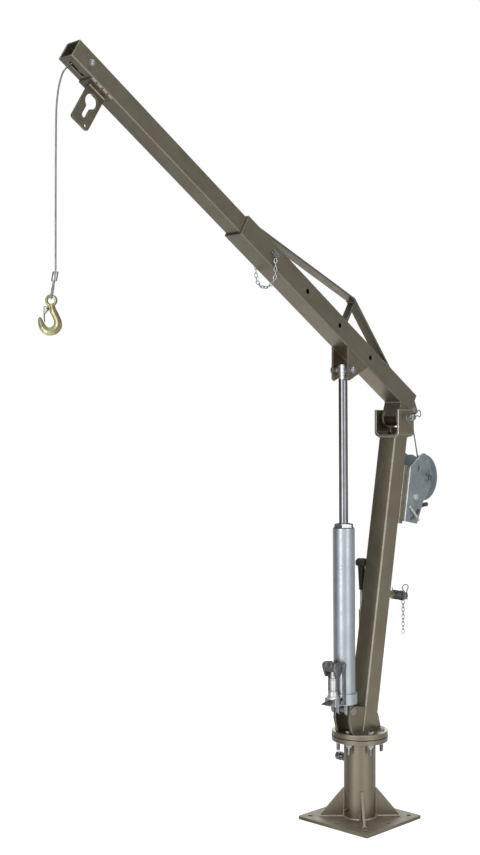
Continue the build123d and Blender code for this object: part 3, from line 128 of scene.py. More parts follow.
# Camera
view = bpy.data.cameras.new("view")
view.lens = 52.93
view.sensor_width = 36.0
view.clip_end = 60.0
camera = add_object("view", view)
camera.location = (3.1804, 2.5289, 1.2584)
camera.rotation_euler = (math.radians(90), 0, math.radians(133.93))
scene.camera = camera
scene.view_settings.view_transform = "Standard"


# Materials
# Cosine of rounded to true normal where a pale edge is full, where it is full on a crowned face, and where it begins;
# the pale edge is partly rubbed paint and partly a painted highlight
EDGE_FULL, CROWN_FULL, EDGE_NONE = 0.86, 0.95, 0.995
# Metal flakes in paint, in waves per metre
FLAKES = 2600
# How much a metal still reflects at a glancing angle
DARK_RIM = (0.25, 0.25, 0.25, 1)
# Height of the ram's turned end, the step to it, and its grooves, in metres
TURNED_FROM, TURNED_STEP, TURNED_GROOVE = 1.4110, 0.0005, 0.011


def add_node(tree, kind, **values):
    """A new node with some of its settings."""
    node = tree.nodes.new(kind)
    for key, value in values.items():
        setattr(node, key, value)
    return node


def add_ramp(tree, value, stops):
    """The colour at a value, between stops given as (position, colour)."""
    node = tree.nodes.new("ShaderNodeValToRGB")
    while len(node.color_ramp.elements) < len(stops):
        node.color_ramp.elements.new(0.5)
    for element, (position, colour) in zip(node.color_ramp.elements, stops):
        element.position = position
        element.color = (*colour, 1)
    tree.links.new(value, node.inputs["Fac"])
    return node.outputs["Color"]


class Finish:
    """A material with one Principled shader and short calls to add nodes to it."""

    def __init__(self, name, round_edge=0.0008):
        self.material = bpy.data.materials.new(name)
        self.material.use_nodes = True
        self.tree = self.material.node_tree
        self.shader = self.tree.nodes["Principled BSDF"]
        self.place = self.add("ShaderNodeTexCoord").outputs["Object"]
        self.soft = self.add("ShaderNodeBevel", samples=4)
        self.soft.inputs["Radius"].default_value = round_edge
        self.normal = self.soft.outputs["Normal"]

    def add(self, kind, **values):
        return add_node(self.tree, kind, **values)

    def join(self, output, node, socket):
        self.tree.links.new(output, node.inputs[socket])

    def set(self, **values):
        for key, value in values.items():
            self.shader.inputs[key.replace("_", " ")].default_value = value

    def noise(self, scale, detail=3.0):
        """Noise at a number of waves per metre."""
        node = self.add("ShaderNodeTexNoise")
        node.inputs["Scale"].default_value = scale
        node.inputs["Detail"].default_value = detail
        self.join(self.place, node, "Vector")
        return node.outputs["Fac"]

    def ramp(self, value, *stops):
        return add_ramp(self.tree, value, stops)

    def spread(self, value, low, high, from_low=0.35, from_high=0.65):
        """The value mapped from one range to another."""
        node = self.add("ShaderNodeMapRange")
        for socket, number in zip(("From Min", "From Max", "To Min", "To Max"), (from_low, from_high, low, high)):
            node.inputs[socket].default_value = number
        self.join(value, node, "Value")
        return node.outputs["Result"]

    def blend(self, share, first, second):
        """Mix of two colours by a value."""
        node = self.add("ShaderNodeMix", data_type="RGBA")
        self.join(share, node, 0)
        for socket, colour in ((6, first), (7, second)):
            if isinstance(colour, tuple):
                node.inputs[socket].default_value = (*colour, 1)
            else:
                self.join(colour, node, socket)
        return node.outputs[2]

    def edges(self, full):
        """1 on edges whose rounded normal is this far from the face's, 0 on flat faces."""
        true = self.add("ShaderNodeNewGeometry")
        dot = self.add("ShaderNodeVectorMath", operation="DOT_PRODUCT")
        self.join(self.soft.outputs["Normal"], dot, 0)
        self.join(true.outputs["Normal"], dot, 1)
        return self.spread(dot.outputs["Value"], 1.0, 0.0, full, EDGE_NONE)

    def colour(self, output):
        self.join(output, self.shader, "Base Color")

    def rough(self, output):
        self.join(output, self.shader, "Roughness")

    def bump(self, height, distance, strength=0.6):
        """Surface relief on top of the rounded edges."""
        node = self.add("ShaderNodeBump")
        node.inputs["Strength"].default_value = strength
        node.inputs["Distance"].default_value = distance
        self.join(height, node, "Height")
        self.join(self.normal, node, "Normal")
        self.join(node.outputs["Normal"], self.shader, "Normal")

    def bulge(self, distance):
        """Shades faces across Y as slightly crowned, as a rolled tube's are."""
        split = self.add("ShaderNodeSeparateXYZ")
        self.join(self.place, split, 0)
        square = self.add("ShaderNodeMath", operation="MULTIPLY")
        self.join(split.outputs["Y"], square, 0)
        self.join(split.outputs["Y"], square, 1)
        node = self.add("ShaderNodeBump", invert=True)
        node.inputs["Distance"].default_value = distance
        self.join(square.outputs[0], node, "Height")
        self.join(self.normal, node, "Normal")
        self.normal = node.outputs["Normal"]


def srgb(r, g, b):
    """Linear colour of a colour given as screen values from 0 to 255."""
    return tuple((c / 255 / 12.92) if c <= 10 else ((c / 255 + 0.055) / 1.055) ** 2.4 for c in (r, g, b))


def paint_finish(name, dark, light, edge, metallic=0.9, round_edge=0.0022, rough=0.39, bulge=0.0):
    """Satin metallic paint: flakes, soft patches, brownish clouds, a slight orange peel, and pale edges that are
    partly rubbed paint and partly a painted highlight.
    """
    f = Finish(name, round_edge)
    if bulge:
        f.bulge(bulge)
    f.set(Metallic=metallic, Coat_Weight=0.04, Coat_Roughness=0.3)
    patches = f.ramp(f.noise(14), (0.3, dark), (0.7, light))
    clouds = f.blend(f.spread(f.noise(6), 0.0, 0.3, 0.5, 0.72), patches, srgb(124, 104, 84))
    flakes = f.blend(f.spread(f.noise(FLAKES, 1), 0.0, 0.4), clouds, srgb(154, 147, 132))
    # Pale edges: partly paint rubbed thin, partly a painted highlight
    f.colour(f.blend(f.edges(CROWN_FULL if bulge else EDGE_FULL), flakes, edge))
    f.rough(f.spread(f.noise(60), rough - 0.04, rough + 0.04))
    f.bump(f.noise(420, 2), 0.00007, 0.35)
    return f.material


def metal_finish(name, dark, light, rough, grain, metallic=1.0, bump=0.00005, edge=None, round_edge=0.0005):
    """Plated or bare metal: cloudy tone, fine grain in colour, gloss and surface, and a pale edge that is partly
    rubbing and partly a painted highlight.
    """
    f = Finish(name, round_edge)
    f.set(Metallic=metallic, Specular_Tint=DARK_RIM)
    cloud = f.ramp(f.noise(38), (0.32, dark), (0.68, light))
    grained = f.blend(f.spread(f.noise(grain, 2), 0.0, 0.35), cloud, dark)
    # Pale edge: partly rubbed metal, partly a painted highlight
    f.colour(f.blend(f.edges(EDGE_FULL), grained, edge or light))
    f.rough(f.spread(f.noise(grain * 0.6, 2), rough - 0.07, rough + 0.08))
    f.bump(f.noise(grain, 2), bump, 0.5)
    return f.material


def gold_finish():
    """Yellow zinc: gold with greenish and brownish clouds, a painted mauve-brown shade on the bow's outer side, and a
    painted highlight in pale cream along the ridges.
    """
    f = Finish("yellow_zinc", 0.0006)
    f.set(Metallic=1.0, Specular_Tint=DARK_RIM)
    tint = f.ramp(
        f.noise(40, 2),
        (0.25, srgb(140, 128, 92)),
        (0.45, srgb(176, 174, 134)),
        (0.62, srgb(164, 168, 128)),
        (0.8, srgb(140, 122, 94)),
    )
    outer = f.add("ShaderNodeVectorMath", operation="DOT_PRODUCT")
    outer.inputs[1].default_value = HOOK_ACROSS
    f.join(f.add("ShaderNodeTexCoord").outputs["Normal"], outer, 0)
    # Mauve-brown on the side facing across the hook: painted shade
    shaded_outer_side = f.blend(f.spread(outer.outputs["Value"], 0.0, 0.9, 0.05, 0.45), tint, srgb(118, 94, 84))
    # Pale cream on sharp ridges: a painted highlight
    ridge = f.spread(f.add("ShaderNodeNewGeometry").outputs["Pointiness"], 0.0, 0.9, 0.515, 0.56)
    ridge_highlight = f.blend(ridge, shaded_outer_side, srgb(232, 226, 196))
    f.colour(f.blend(f.spread(f.noise(900, 2), 0.0, 0.2), ridge_highlight, srgb(112, 100, 68)))
    f.rough(f.spread(f.noise(420, 2), 0.2, 0.32))
    f.bump(f.noise(700, 2), 0.00004, 0.3)
    return f.material


def chrome_finish():
    """Hard chrome with a pale, turned end above a height."""
    f = Finish("hard_chrome")
    f.set(Metallic=1.0, Specular_Tint=DARK_RIM)
    shaft = f.ramp(f.noise(38), (0.32, srgb(126, 128, 130)), (0.68, srgb(140, 141, 143)))
    split = f.add("ShaderNodeSeparateXYZ")
    f.join(f.place, split, 0)
    height = split.outputs["Z"]
    wave = f.add("ShaderNodeMath", operation="SINE")
    steps = f.add("ShaderNodeMath", operation="MULTIPLY")
    steps.inputs[1].default_value = 2 * math.pi / TURNED_GROOVE
    f.join(height, steps, 0)
    f.join(steps.outputs[0], wave, 0)
    turned = f.blend(f.spread(wave.outputs[0], 0.0, 0.5, 0.6, 1.0), srgb(226, 228, 228), srgb(120, 122, 124))
    step = TURNED_FROM, TURNED_FROM + TURNED_STEP
    f.colour(f.blend(f.spread(height, 0.0, 1.0, *step), shaft, turned))
    f.rough(f.spread(height, 0.08, 0.3, *step))
    return f.material


def silver_finish():
    """Silver paint: pale metallic with flakes."""
    f = Finish("silver_paint", 0.001)
    f.set(Metallic=0.95, Coat_Weight=0.05, Coat_Roughness=0.2)
    tone = f.ramp(f.noise(24), (0.3, srgb(162, 171, 176)), (0.7, srgb(178, 186, 191)))
    f.colour(f.blend(f.spread(f.noise(FLAKES, 1), 0.0, 0.4), tone, srgb(196, 203, 207)))
    f.rough(f.spread(f.noise(90), 0.34, 0.44))
    f.bump(f.noise(600, 2), 0.00003, 0.3)
    return f.material


def grip_finish():
    """Black moulded rubber."""
    f = Finish("black_grip")
    f.set(Specular_IOR_Level=0.4)
    f.colour(f.ramp(f.noise(70), (0.3, srgb(26, 26, 27)), (0.7, srgb(40, 40, 41))))
    f.rough(f.spread(f.noise(300), 0.55, 0.7))
    f.bump(f.noise(1500, 2), 0.0001, 0.5)
    return f.material


OLIVE = srgb(122, 115, 99), srgb(134, 127, 111)
finishes = {
    "paint": paint_finish("olive_paint", *OLIVE, srgb(188, 182, 168)),
    # Lighter olive paint with crowned faces for the mast, its head and the winch bracket; its near-white edges are a
    # painted highlight
    "tube": paint_finish(
        "olive_paint_tube", srgb(136, 128, 107), srgb(148, 140, 120), srgb(252, 252, 250), round_edge=0.003, bulge=1.6
    ),
    "boom": paint_finish("olive_paint_boom", *OLIVE, srgb(148, 141, 125)),
    "plate": paint_finish(
        "olive_paint_plate", srgb(98, 91, 78), srgb(124, 115, 100), srgb(168, 161, 146), 0.4, rough=0.55
    ),
    # Paler copy of the olive paint for the weld beads and the jack pin: a painted highlight
    "weld": paint_finish("olive_paint_weld_highlight", srgb(148, 141, 125), srgb(178, 171, 155), srgb(190, 184, 170), 0.7),
    "steel": metal_finish("bright_zinc", srgb(150, 152, 152), srgb(192, 194, 194), 0.3, 900),
    "white": metal_finish("white_zinc", srgb(206, 209, 207), srgb(228, 230, 228), 0.35, 600, 0.75),
    "wire": metal_finish("dark_wire", srgb(82, 84, 86), srgb(140, 142, 143), 0.34, 900),
    # Dull zinc of the winch frame; its pale edge colour is a painted highlight along the plate's edges
    "zinc": metal_finish(
        "dull_zinc", srgb(150, 163, 166), srgb(172, 184, 187), 0.45, 500, 0.7,
        edge=srgb(216, 224, 224), round_edge=0.0022,
    ),
    # Darker copy of the dull zinc for the drum and its gear: painted shade behind the frame's plate
    "gear": metal_finish("gear_zinc_shaded", srgb(138, 151, 157), srgb(156, 168, 173), 0.45, 500, 0.8),
    "rope": metal_finish("wire_rope", srgb(128, 129, 133), srgb(172, 173, 177), 0.34, 1600),
    "gold": gold_finish(),
    "latch": metal_finish("latch_zinc", srgb(88, 76, 48), srgb(134, 118, 78), 0.34, 700),
    "sleeve": metal_finish("pressed_zinc", srgb(138, 141, 144), srgb(182, 185, 188), 0.24, 900),
    "shade": paint_finish("olive_paint_shade", srgb(104, 97, 84), srgb(118, 110, 96), srgb(150, 144, 130)),
    "silver": silver_finish(),
    "cast": metal_finish(
        "cast_grey", srgb(104, 106, 109), srgb(138, 140, 143), 0.46, 420, 0.85, 0.0002,
        edge=srgb(196, 198, 200), round_edge=0.0015,
    ),
    "chrome": chrome_finish(),
    "grip": grip_finish(),
    "brass": metal_finish("brass", srgb(166, 128, 60), srgb(196, 158, 84), 0.3, 800),
    # Dark brownish steel for the gap between the flanges and the heel roller: painted shade
    "brown_shade": metal_finish("dark_steel_in_shade", srgb(58, 44, 36), srgb(86, 66, 54), 0.6, 300, 0.4, 0.0002),
}

# Nodes by their slot's finish, and those that have another one
slot_nodes = {
    "paint": (
        "base_plate base_column base_gussets swivel_flange mast_flange mast_tube mast_foot_plates mast_head "
        "winch_bracket handle_post handle_socket outer_boom boom_heel jack_lugs boom_truss inner_boom hook_bracket"
    ),
    "steel": (
        "swivel_lock_screw spindle flange_bolts jack_pin pivot_pin pivot_clip winch_bolts drum_axle post_clip "
        "post_chain stow_handle lug_pin lock_pin rear_sheave_axle lock_chain rear_sheave tip_axle tip_sheave "
        "rope_ferrule pump_piston release_valve pinion_shaft"
    ),
    "zinc": "winch_frame winch_drum drum_gear pawl",
    "rope": "rope_mast_run rope_winding rope_heel_run rope_tip_run hanging_rope rope_eye",
    "gold": "hook hook_latch",
    "silver": "jack_base jack_cylinder gland_nut pump_links pump_rocker",
    "chrome": "ram_rod",
    "grip": "handle_grip",
    "brass": "column_bushes grease_nipple",
}
other_finish = {
    "tube": "mast_tube mast_head winch_bracket",
    "plate": "base_plate",
    "boom": "outer_boom jack_lugs boom_heel",
    "shade": "hook_bracket boom_truss",
    "gear": "drum_gear winch_drum",
    "wire": "pawl release_valve",
    "white": "pinion_shaft pump_piston",
}
for slot_table in (slot_nodes, other_finish):
    for finish, names in slot_table.items():
        for name in names.split():
            nodes[name].data.materials.clear()
            nodes[name].data.materials.append(finishes[finish])


# Shapes
def turns(count, start=0.0):
    """Angles of one full turn in equal steps."""
    return [start + 2 * math.pi * k / count for k in range(count)]


def loft(bm, rings, closed=False):
    """Faces between rings of points of the same count, with capped ends or joined up to a closed loop."""
    loops = [[bm.verts.new(point) for point in ring] for ring in rings]
    pairs = list(zip(loops, loops[1:]))
    if closed:
        pairs.append((loops[-1], loops[0]))
    count = len(loops[0])
    for low, high in pairs:
        for k in range(count):
            bm.faces.new((low[k], low[(k + 1) % count], high[(k + 1) % count], high[k]))
    if not closed:
        bm.faces.new(reversed(loops[0]))
        bm.faces.new(loops[-1])


def frames_along(points, flat=None, closed=False):
    """Two directions across a line at each point: square to a flat direction, or carried along without twist."""
    count = len(points)
    frames = []
    side = None
    for i in range(count):
        before = points[i - 1] if closed or i else points[0]
        after = points[(i + 1) % count] if closed or i + 1 < count else points[i]
        tangent = (after - before).normalized()
        if flat:
            side = tangent.cross(flat).normalized()
        else:
            side = side or tangent.orthogonal()
            side = (side - tangent * side.dot(tangent)).normalized()
        frames.append((side, tangent.cross(side)))
    return frames


def travelled(points):
    """Distance along a line at each of its points."""
    ways = [0.0]
    for a, b in zip(points, points[1:]):
        ways.append(ways[-1] + (b - a).length)
    return ways


def tube(bm, points, radius, around=10, flat=None, closed=False):
    """A round bar along points. The radius is a length or a function of the distance travelled."""
    rings = []
    for point, (a, b), way in zip(points, frames_along(points, flat, closed), travelled(points)):
        r = radius(way) if callable(radius) else radius
        rings.append([point + r * (math.cos(t) * a + math.sin(t) * b) for t in turns(around)])
    loft(bm, rings, closed)


def lathe(bm, foot, axis, profile, around=32):
    """A turned body from (radius, height) pairs in millimetres along an axis from its foot."""
    loft(bm, [ring_points(foot + h * MM * axis, axis, r, around) for r, h in profile])


def washer(bm, foot, axis, r, low, high):
    """A flat ring with rounded rims, from one height to another along the axis."""
    lathe(bm, foot, axis, [(r - 0.5, low), (r, low + 0.4), (r, high - 0.4), (r - 0.5, high)])


def hexagon_r(t, across):
    """Radius of a hexagon at an angle from the middle of a flat."""
    return across / 2 / math.cos((t + math.pi / 6) % (math.pi / 3) - math.pi / 6)


def hexagon(bm, foot, axis, flat, across, low, high):
    """A nut or bolt head whose corners are turned off at both ends; one flat looks along the second direction."""
    side = axis.cross(flat)
    inner = across * 0.48
    rings = [[], [], [], []]
    for t in turns(24):
        way = math.cos(t) * flat + math.sin(t) * side
        r = hexagon_r(t, across)
        cut = (r - inner) * 0.5
        for ring, out, h in zip(rings, (inner, r, r, inner), (low, low + cut, high - cut, high)):
            ring.append(foot + MM * (h * axis + out * way))
    loft(bm, rings)


def bored_hexagon(bm, foot, axis, flat, across, hole, low, high):
    """A nut with its bore open."""
    side = axis.cross(flat)
    rings = [[], [], [], [], []]
    for t in turns(48):
        way = math.cos(t) * flat + math.sin(t) * side
        r = hexagon_r(t, across)
        cut = (r - across / 2) * 0.6 + 0.8
        for ring, out, h in zip(rings, (r, r, r - cut, hole, hole), (low, high - cut, high, high, low)):
            ring.append(foot + MM * (h * axis + out * way))
    loft(bm, rings, closed=True)


def thread(bm, foot, axis, r, low, high, pitch):
    """Screw thread on a bar, with a turned-off end."""
    root = r - 0.5 * pitch
    profile = [(root, low)]
    for k in range(int((high - low) / pitch)):
        profile += [(r, low + (k + 0.5) * pitch), (root, low + (k + 1) * pitch)]
    lathe(bm, foot, axis, profile + [(root - 0.6, high)], 24)


def ring_points(centre, axis, r, count=48):
    """Points of a full circle."""
    a = axis.orthogonal().normalized()
    b = axis.cross(a)
    return [centre + r * MM * (math.cos(t) * a + math.sin(t) * b) for t in turns(count)]


def circle(centre, axis, r, count=48):
    """Points of a full circle, the first one again at the end."""
    spots = ring_points(centre, axis, r, count)
    return spots + spots[:1]


WELD_STEP, WELD_RIPPLE = 1.5 * MM, 4.6 * MM


def weld(bm, points, r):
    """A weld bead with ripples, along straight lines between points."""
    spots = []
    for a, b in zip(points, points[1:]):
        steps = max(2, int((b - a).length / WELD_STEP))
        spots += [a.lerp(b, k / steps) for k in range(steps)]
    spots.append(points[-1])

    def bead(way):
        ripple = abs(math.sin(math.pi * way / WELD_RIPPLE))
        return r * MM * (0.8 + 0.2 * ripple + 0.09 * math.sin(way * 260) + 0.06 * math.sin(way * 611))

    tube(bm, spots, bead, 8)


def route(name, points, detail):
    """Points read from a smooth NURBS curve with these control points."""
    curve = bpy.data.curves.new(name, "CURVE")
    curve.dimensions = "3D"
    spline = curve.splines.new("NURBS")
    spline.points.add(len(points) - 1)
    for target, point in zip(spline.points, points):
        target.co = (*point, 1)
    spline.order_u = 3
    spline.use_endpoint_u = True
    spline.resolution_u = detail
    holder = add_object(name, curve)
    mesh = bpy.data.meshes.new_from_object(holder)
    found = [vertex.co.copy() for vertex in mesh.vertices]
    bpy.data.objects.remove(holder)
    bpy.data.meshes.remove(mesh)
    return found


def new_piece(name, bm, slot, body=None, replaced=(), crease=35.0, finish=None):
    """An object from a mesh, with the slot's or another finish, riding on a body and standing for CAD nodes."""
    bmesh.ops.recalc_face_normals(bm, faces=bm.faces)
    mesh = bpy.data.meshes.new(name)
    bm.to_mesh(mesh)
    bm.free()
    mesh.materials.append(finishes[finish or slot])
    mesh.shade_smooth()
    mesh.set_sharp_from_angle(angle=math.radians(crease))
    piece = add_object(name, mesh)
    if body:
        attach(piece, body)
    if replaced:
        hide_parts(*replaced)
    return piece


def cast_over(piece, voxel, rounds):
    """Joins a piece's bodies and rounds off its edges, as on a casting."""
    fuse = piece.modifiers.new("fuse", "REMESH")
    fuse.mode = "VOXEL"
    fuse.voxel_size = voxel * MM
    fuse.use_smooth_shade = True
    ease = piece.modifiers.new("ease", "SMOOTH")
    ease.factor = 0.5
    ease.iterations = rounds


def cast_copy(name, node, slot, body, voxel, rounds, finish=None):
    """A node's own shape as a casting with rounded edges."""
    bm = bmesh.new()
    bm.from_mesh(nodes[node].data)
    piece = new_piece(name, bm, slot, body, (node,), finish=finish)
    cast_over(piece, voxel, rounds)


# Ropes
ROPE = 2.4 * MM
STRANDS = 6
ROPE_LAY = 32 * MM


def stranded(points, around=18):
    """A wire rope: strands laid round the line, with the round of each strand showing."""
    bm = bmesh.new()
    rings = []
    for point, (a, b), way in zip(points, frames_along(points), travelled(points)):
        twist = 2 * math.pi * way / ROPE_LAY
        ring = []
        for t in turns(around):
            r = ROPE * (0.86 + 0.14 * abs(math.cos(STRANDS * t / 2)))
            ring.append(point + r * (math.cos(t + twist) * a + math.sin(t + twist) * b))
        rings.append(ring)
    loft(bm, rings)
    return bm


def rope_piece(name, points, detail, body=None, replaced=()):
    """A wire rope on the route with these control points."""
    return new_piece(name, stranded(route(name + "_route", points, detail)), "rope", body, replaced)


def round_axle(x, z, r, angles, y=0.0, rise=0.0):
    """Control points of a rope round an axle along Y, a twelfth of a turn apart, moving sideways per turn."""
    out = r / math.cos(math.pi / 12)
    return [
        mm(x + out * math.cos(math.radians(a)), y + rise * a / 360, z + out * math.sin(math.radians(a)))
        for a in angles
    ]


hang_route = (
    (1175.65, 2182.16), (1195.36, 2168.47), (1208.65, 2140.16), (1218.65, 2097.16), (1224, 2030.16), (1224, 1650),
)
hang_points = [beside(place) for place in hang_route]
hang_line = route("hang_route", hang_points, 200)
hang_rope = new_piece("wire_rope_hanging", stranded(hang_line), "rope", replaced=("hanging_rope",))
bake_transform(hang_rope)

tip_points = [boom_at(744, 85), boom_at(1577, 85), boom_at(1614.1, 85), boom_at(1624.9, 60.1), hang_points[0]]
rope_piece("wire_rope_tip", tip_points, 90, "extension", ("rope_tip_run",))

heel_points = [boom_at(-46.39, 64.83), boom_at(-39.47, 71.3), boom_at(-1, 71.3), boom_at(740, 71.3)]
rope_piece("wire_rope_heel", heel_points, 110, "boom", ("rope_heel_run",))

mast_points = [
    mm(DRUM_X + 5.65, 0, DRUM_Z - 21.37),
    *round_axle(DRUM_X, DRUM_Z, 22.1, (269.8, 239.8, 209.8, 179.8)),
    mm(-323.8, 0, 1123.6),
    mm(-270.55, 0, 1322.76),
]
mast_rope = rope_piece("wire_rope_mast", mast_points, 60, replaced=("rope_mast_run",))
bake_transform(mast_rope)

WOUND_TURNS, WOUND_R, WOUND_FROM, WOUND_STEP = 7, 17, -24, 5.4
wound_points = [
    mm(DRUM_X + WOUND_R, WOUND_FROM, DRUM_Z),
    *round_axle(DRUM_X, DRUM_Z, WOUND_R, range(15, 360 * WOUND_TURNS, 30), WOUND_FROM, WOUND_STEP),
    mm(DRUM_X + WOUND_R, WOUND_FROM + WOUND_STEP * WOUND_TURNS, DRUM_Z),
]
rope_piece("wire_rope_wound", wound_points, 6, "drum", ("rope_winding",))

eye_points = [
    eye_at(side * out, drop)
    for side, out, drop in (
        (1, 2.7, 22), (1, 2.7, 28), (1, 10, 44), (1, 10, 67),
        (-1, 10, 67), (-1, 10, 44), (-1, 2.7, 28), (-1, 2.7, 22),
    )
]
rope_eye = rope_piece("wire_rope_eye", eye_points, 16, "hanging", ("rope_eye",))

# Pressed sleeve over the rope's end
sleeve_bm = bmesh.new()
sleeve_rings = []
for drop, size in ((-0.5, 0.9), (0.4, 0.97), (1.6, 1.0), (21.4, 1.0), (22.6, 0.97), (23.5, 0.9)):
    ring = []
    for t in turns(32):
        u = 2 * math.copysign(1, math.cos(t)) + 6 * math.cos(t)
        ring.append(eye_at(size * u, drop) + MM * size * 7.4 * math.sin(t) * HOOK_ACROSS)
    sleeve_rings.append(ring)
loft(sleeve_bm, sleeve_rings)
sleeve = new_piece("pressed_sleeve", sleeve_bm, "steel", "hanging", ("rope_ferrule",), finish="sleeve")

# Forged hook: outer and inner side of the bow and half its thickness, station by station
hook_stations = (
    ((8.5, -8), (-4, -8), 4.6),
    ((9.5, -14), (-4, -14), 5.4),
    ((11.8, -21), (-4, -22), 6.0),
    ((16.2, -29), (-3, -30.5), 6.4),
    ((20.8, -38.5), (1.5, -38), 6.6),
    ((25, -48.5), (5.2, -46.5), 6.7),
    ((27.5, -58.5), (7.4, -56), 6.8),
    ((26.4, -69), (6, -62), 6.8),
    ((20.8, -78.6), (2.4, -66), 6.8),
    ((11.8, -85.6), (-1.4, -67.7), 6.8),
    ((0, -88.5), (-4.5, -68), 6.8),
    ((-11, -87.4), (-8.5, -66.8), 6.6),
    ((-20.6, -82), (-12.6, -64.2), 6.3),
    ((-28, -73.6), (-15.6, -60.4), 5.8),
    ((-31.8, -64), (-18.4, -55.6), 5.2),
    ((-33, -54), (-21.6, -49.4), 4.5),
    ((-32.8, -46.5), (-24.6, -44), 3.6),
    ((-30.8, -42.4), (-27, -42), 1.8),
)


def squared(t, power):
    """Across and through of a rounded square at an angle."""
    c, s = math.cos(t), math.sin(t)
    return math.copysign(abs(c) ** power, c), math.copysign(abs(s) ** power, s)


# Across and through of the bow's section, which rises to a ridge on both faces
bow_half = ((1, 0), (0.98, 0.22), (0.9, 0.42), (0.45, 0.74), (0, 1), (-0.45, 0.78), (-0.86, 0.5), (-0.97, 0.24))
bow_section = bow_half + ((-1, 0),) + tuple((c, -s) for c, s in reversed(bow_half[1:]))
hook_bm = bmesh.new()
hook_rings = []
for (u0, w0), (u1, w1), half in hook_stations:
    ring = []
    for c, s in bow_section:
        ring.append(hook_at((u0 + u1) / 2 + c * (u0 - u1) / 2, (w0 + w1) / 2 + c * (w0 - w1) / 2, s * half))
    hook_rings.append(ring)
loft(hook_bm, hook_rings)
EYE_R, EYE_HALF_WIDE, EYE_HALF_THICK = 12, 3.6, 4.7
eye_rings = []
for way in turns(48):
    ring = []
    for t in turns(16):
        c, s = squared(t, 0.85)
        out = EYE_R + EYE_HALF_WIDE * c
        ring.append(hook_at(out * math.cos(way), out * math.sin(way), EYE_HALF_THICK * s))
    eye_rings.append(ring)
loft(hook_bm, eye_rings, closed=True)
lug_outline = ((-2, -14), (-10, -14.5), (-13, -18.5), (-12, -23), (-8, -25.5), (-2, -28))
loft(hook_bm, [[hook_at(u, w, n) for u, w in lug_outline] for n in (-2.5, 2.5)])
hook = new_piece("forged_hook", hook_bm, "gold", "hook", ("hook",), 60)
cast_over(hook, 0.5, 3)

# Sprung latch: a bent strip with rimmed cheeks on the rivet
latch_strip = (
    (-18.8, -17.5), (-16.6, -16.5), (-16.4, -34), (-16.2, -46),
    (-15.2, -53.5), (-17.2, -53.5), (-18.4, -46), (-18.8, -34),
)
latch_rim = (
    (-18, -18.5), (-17.2, -16.4), (-15.2, -14.8), (-9.8, -14.8), (-7.2, -16.8),
    (-6, -20.5), (-6.9, -23.4), (-9.2, -25.7), (-13, -29.6), (-18, -36),
)
LATCH_HALF = 4.2
latch_bm = bmesh.new()
loft(latch_bm, [[hook_at(u, w, n) for u, w in latch_strip] for n in (-LATCH_HALF, LATCH_HALF)])
cheek_bm = bmesh.new()
for face in (1, -1):
    tube(latch_bm, [hook_at(u, w, face * LATCH_HALF) for u, w in latch_rim], 0.7 * MM, 8)
    loft(cheek_bm, [[hook_at(u, w, face * n) for u, w in latch_rim] for n in (2.8, LATCH_HALF)])
new_piece("latch_strip", latch_bm, "gold", "latch", ("hook_latch",), finish="latch")
new_piece("latch_cheeks", cheek_bm, "gold", "latch", finish="white")

rivet_bm = bmesh.new()
for face in (1, -1):
    lathe(rivet_bm, hook_at(-9.2, -20.5), face * HOOK_NORMAL, [(2.6, 3), (2.6, 5.4), (1.6, 6.2), (0.2, 6.4)], 20)
new_piece("latch_rivet", rivet_bm, "gold", "latch", finish="latch")

# Chains of round wire
LINK_LONG, LINK_WIDE, LINK_WIRE = 17.2, 10.4, 2.4
LINK_PITCH = 12.2


def chain_link(bm, centre, along, flat):
    """One oval link whose flat side looks along the last direction."""
    bend = (LINK_WIDE - LINK_WIRE) / 2
    straight = (LINK_LONG - LINK_WIDE) / 2
    sideways = flat.cross(along)
    spots = []
    for end in (1, -1):
        for k in range(9):
            way = math.radians(22.5 * k - 90)
            reach = (straight + bend * math.cos(way)) * along + bend * math.sin(way) * sideways
            spots.append(centre + end * MM * reach)
    tube(bm, spots, LINK_WIRE / 2 * MM, 8, flat, True)


LOCK = boom_at(796, 65)
hang_half, straight_links, bend_links = 39.5, 3, 10
bend_r = LINK_PITCH / 2 / math.sin(math.pi / bend_links / 2)
lean_in = (hang_half - bend_r) / straight_links
first_drop = 8 + LINK_LONG / 2
link_spots = [(hang_half - lean_in * k, -first_drop - k * LINK_PITCH) for k in range(straight_links)]
bend_low = -first_drop - straight_links * LINK_PITCH
for k in range(bend_links + 1):
    way = -math.pi * k / bend_links
    link_spots.append((bend_r * math.cos(way), bend_low + bend_r * math.sin(way)))
link_spots += [(-y, z) for y, z in reversed(link_spots[:straight_links])]
chain_bm = bmesh.new()
for k, (y, z) in enumerate(link_spots):
    before = link_spots[max(k - 1, 0)]
    after = link_spots[min(k + 1, len(link_spots) - 1)]
    along = Vector((0, after[0] - before[0], after[1] - before[1])).normalized()
    across = Vector((1, 0, 0)).cross(along)
    flat = (Vector((1, 0, 0)) + (across if k % 2 == 0 else -across)).normalized()
    chain_link(chain_bm, LOCK + mm(0, y, z), along, flat)
new_piece("lock_chain_links", chain_bm, "steel", "chain", ("lock_chain",))

post_bm = bmesh.new()
for k in range(9):
    flat = Vector((1, 1 if k % 2 == 0 else -1, 0)).normalized()
    chain_link(post_bm, mm(-232.34, 0, 673.43 - k * LINK_PITCH), UP, flat)
new_piece("post_chain_links", post_bm, "steel", "mast", ("post_chain",), finish="wire")


# Wire clips
def wire_clip(name, body, replaced, centre, along, up, corners):
    """A spring clip of bent wire: one leg through a pin, a round end, and a waved leg over the pin's outside."""
    line = route(name, [centre + MM * (a * along + b * up) for a, b in corners], 10)
    bm = bmesh.new()
    tube(bm, line, 1.7 * MM)
    new_piece(name, bm, "steel", body, replaced, finish="wire")


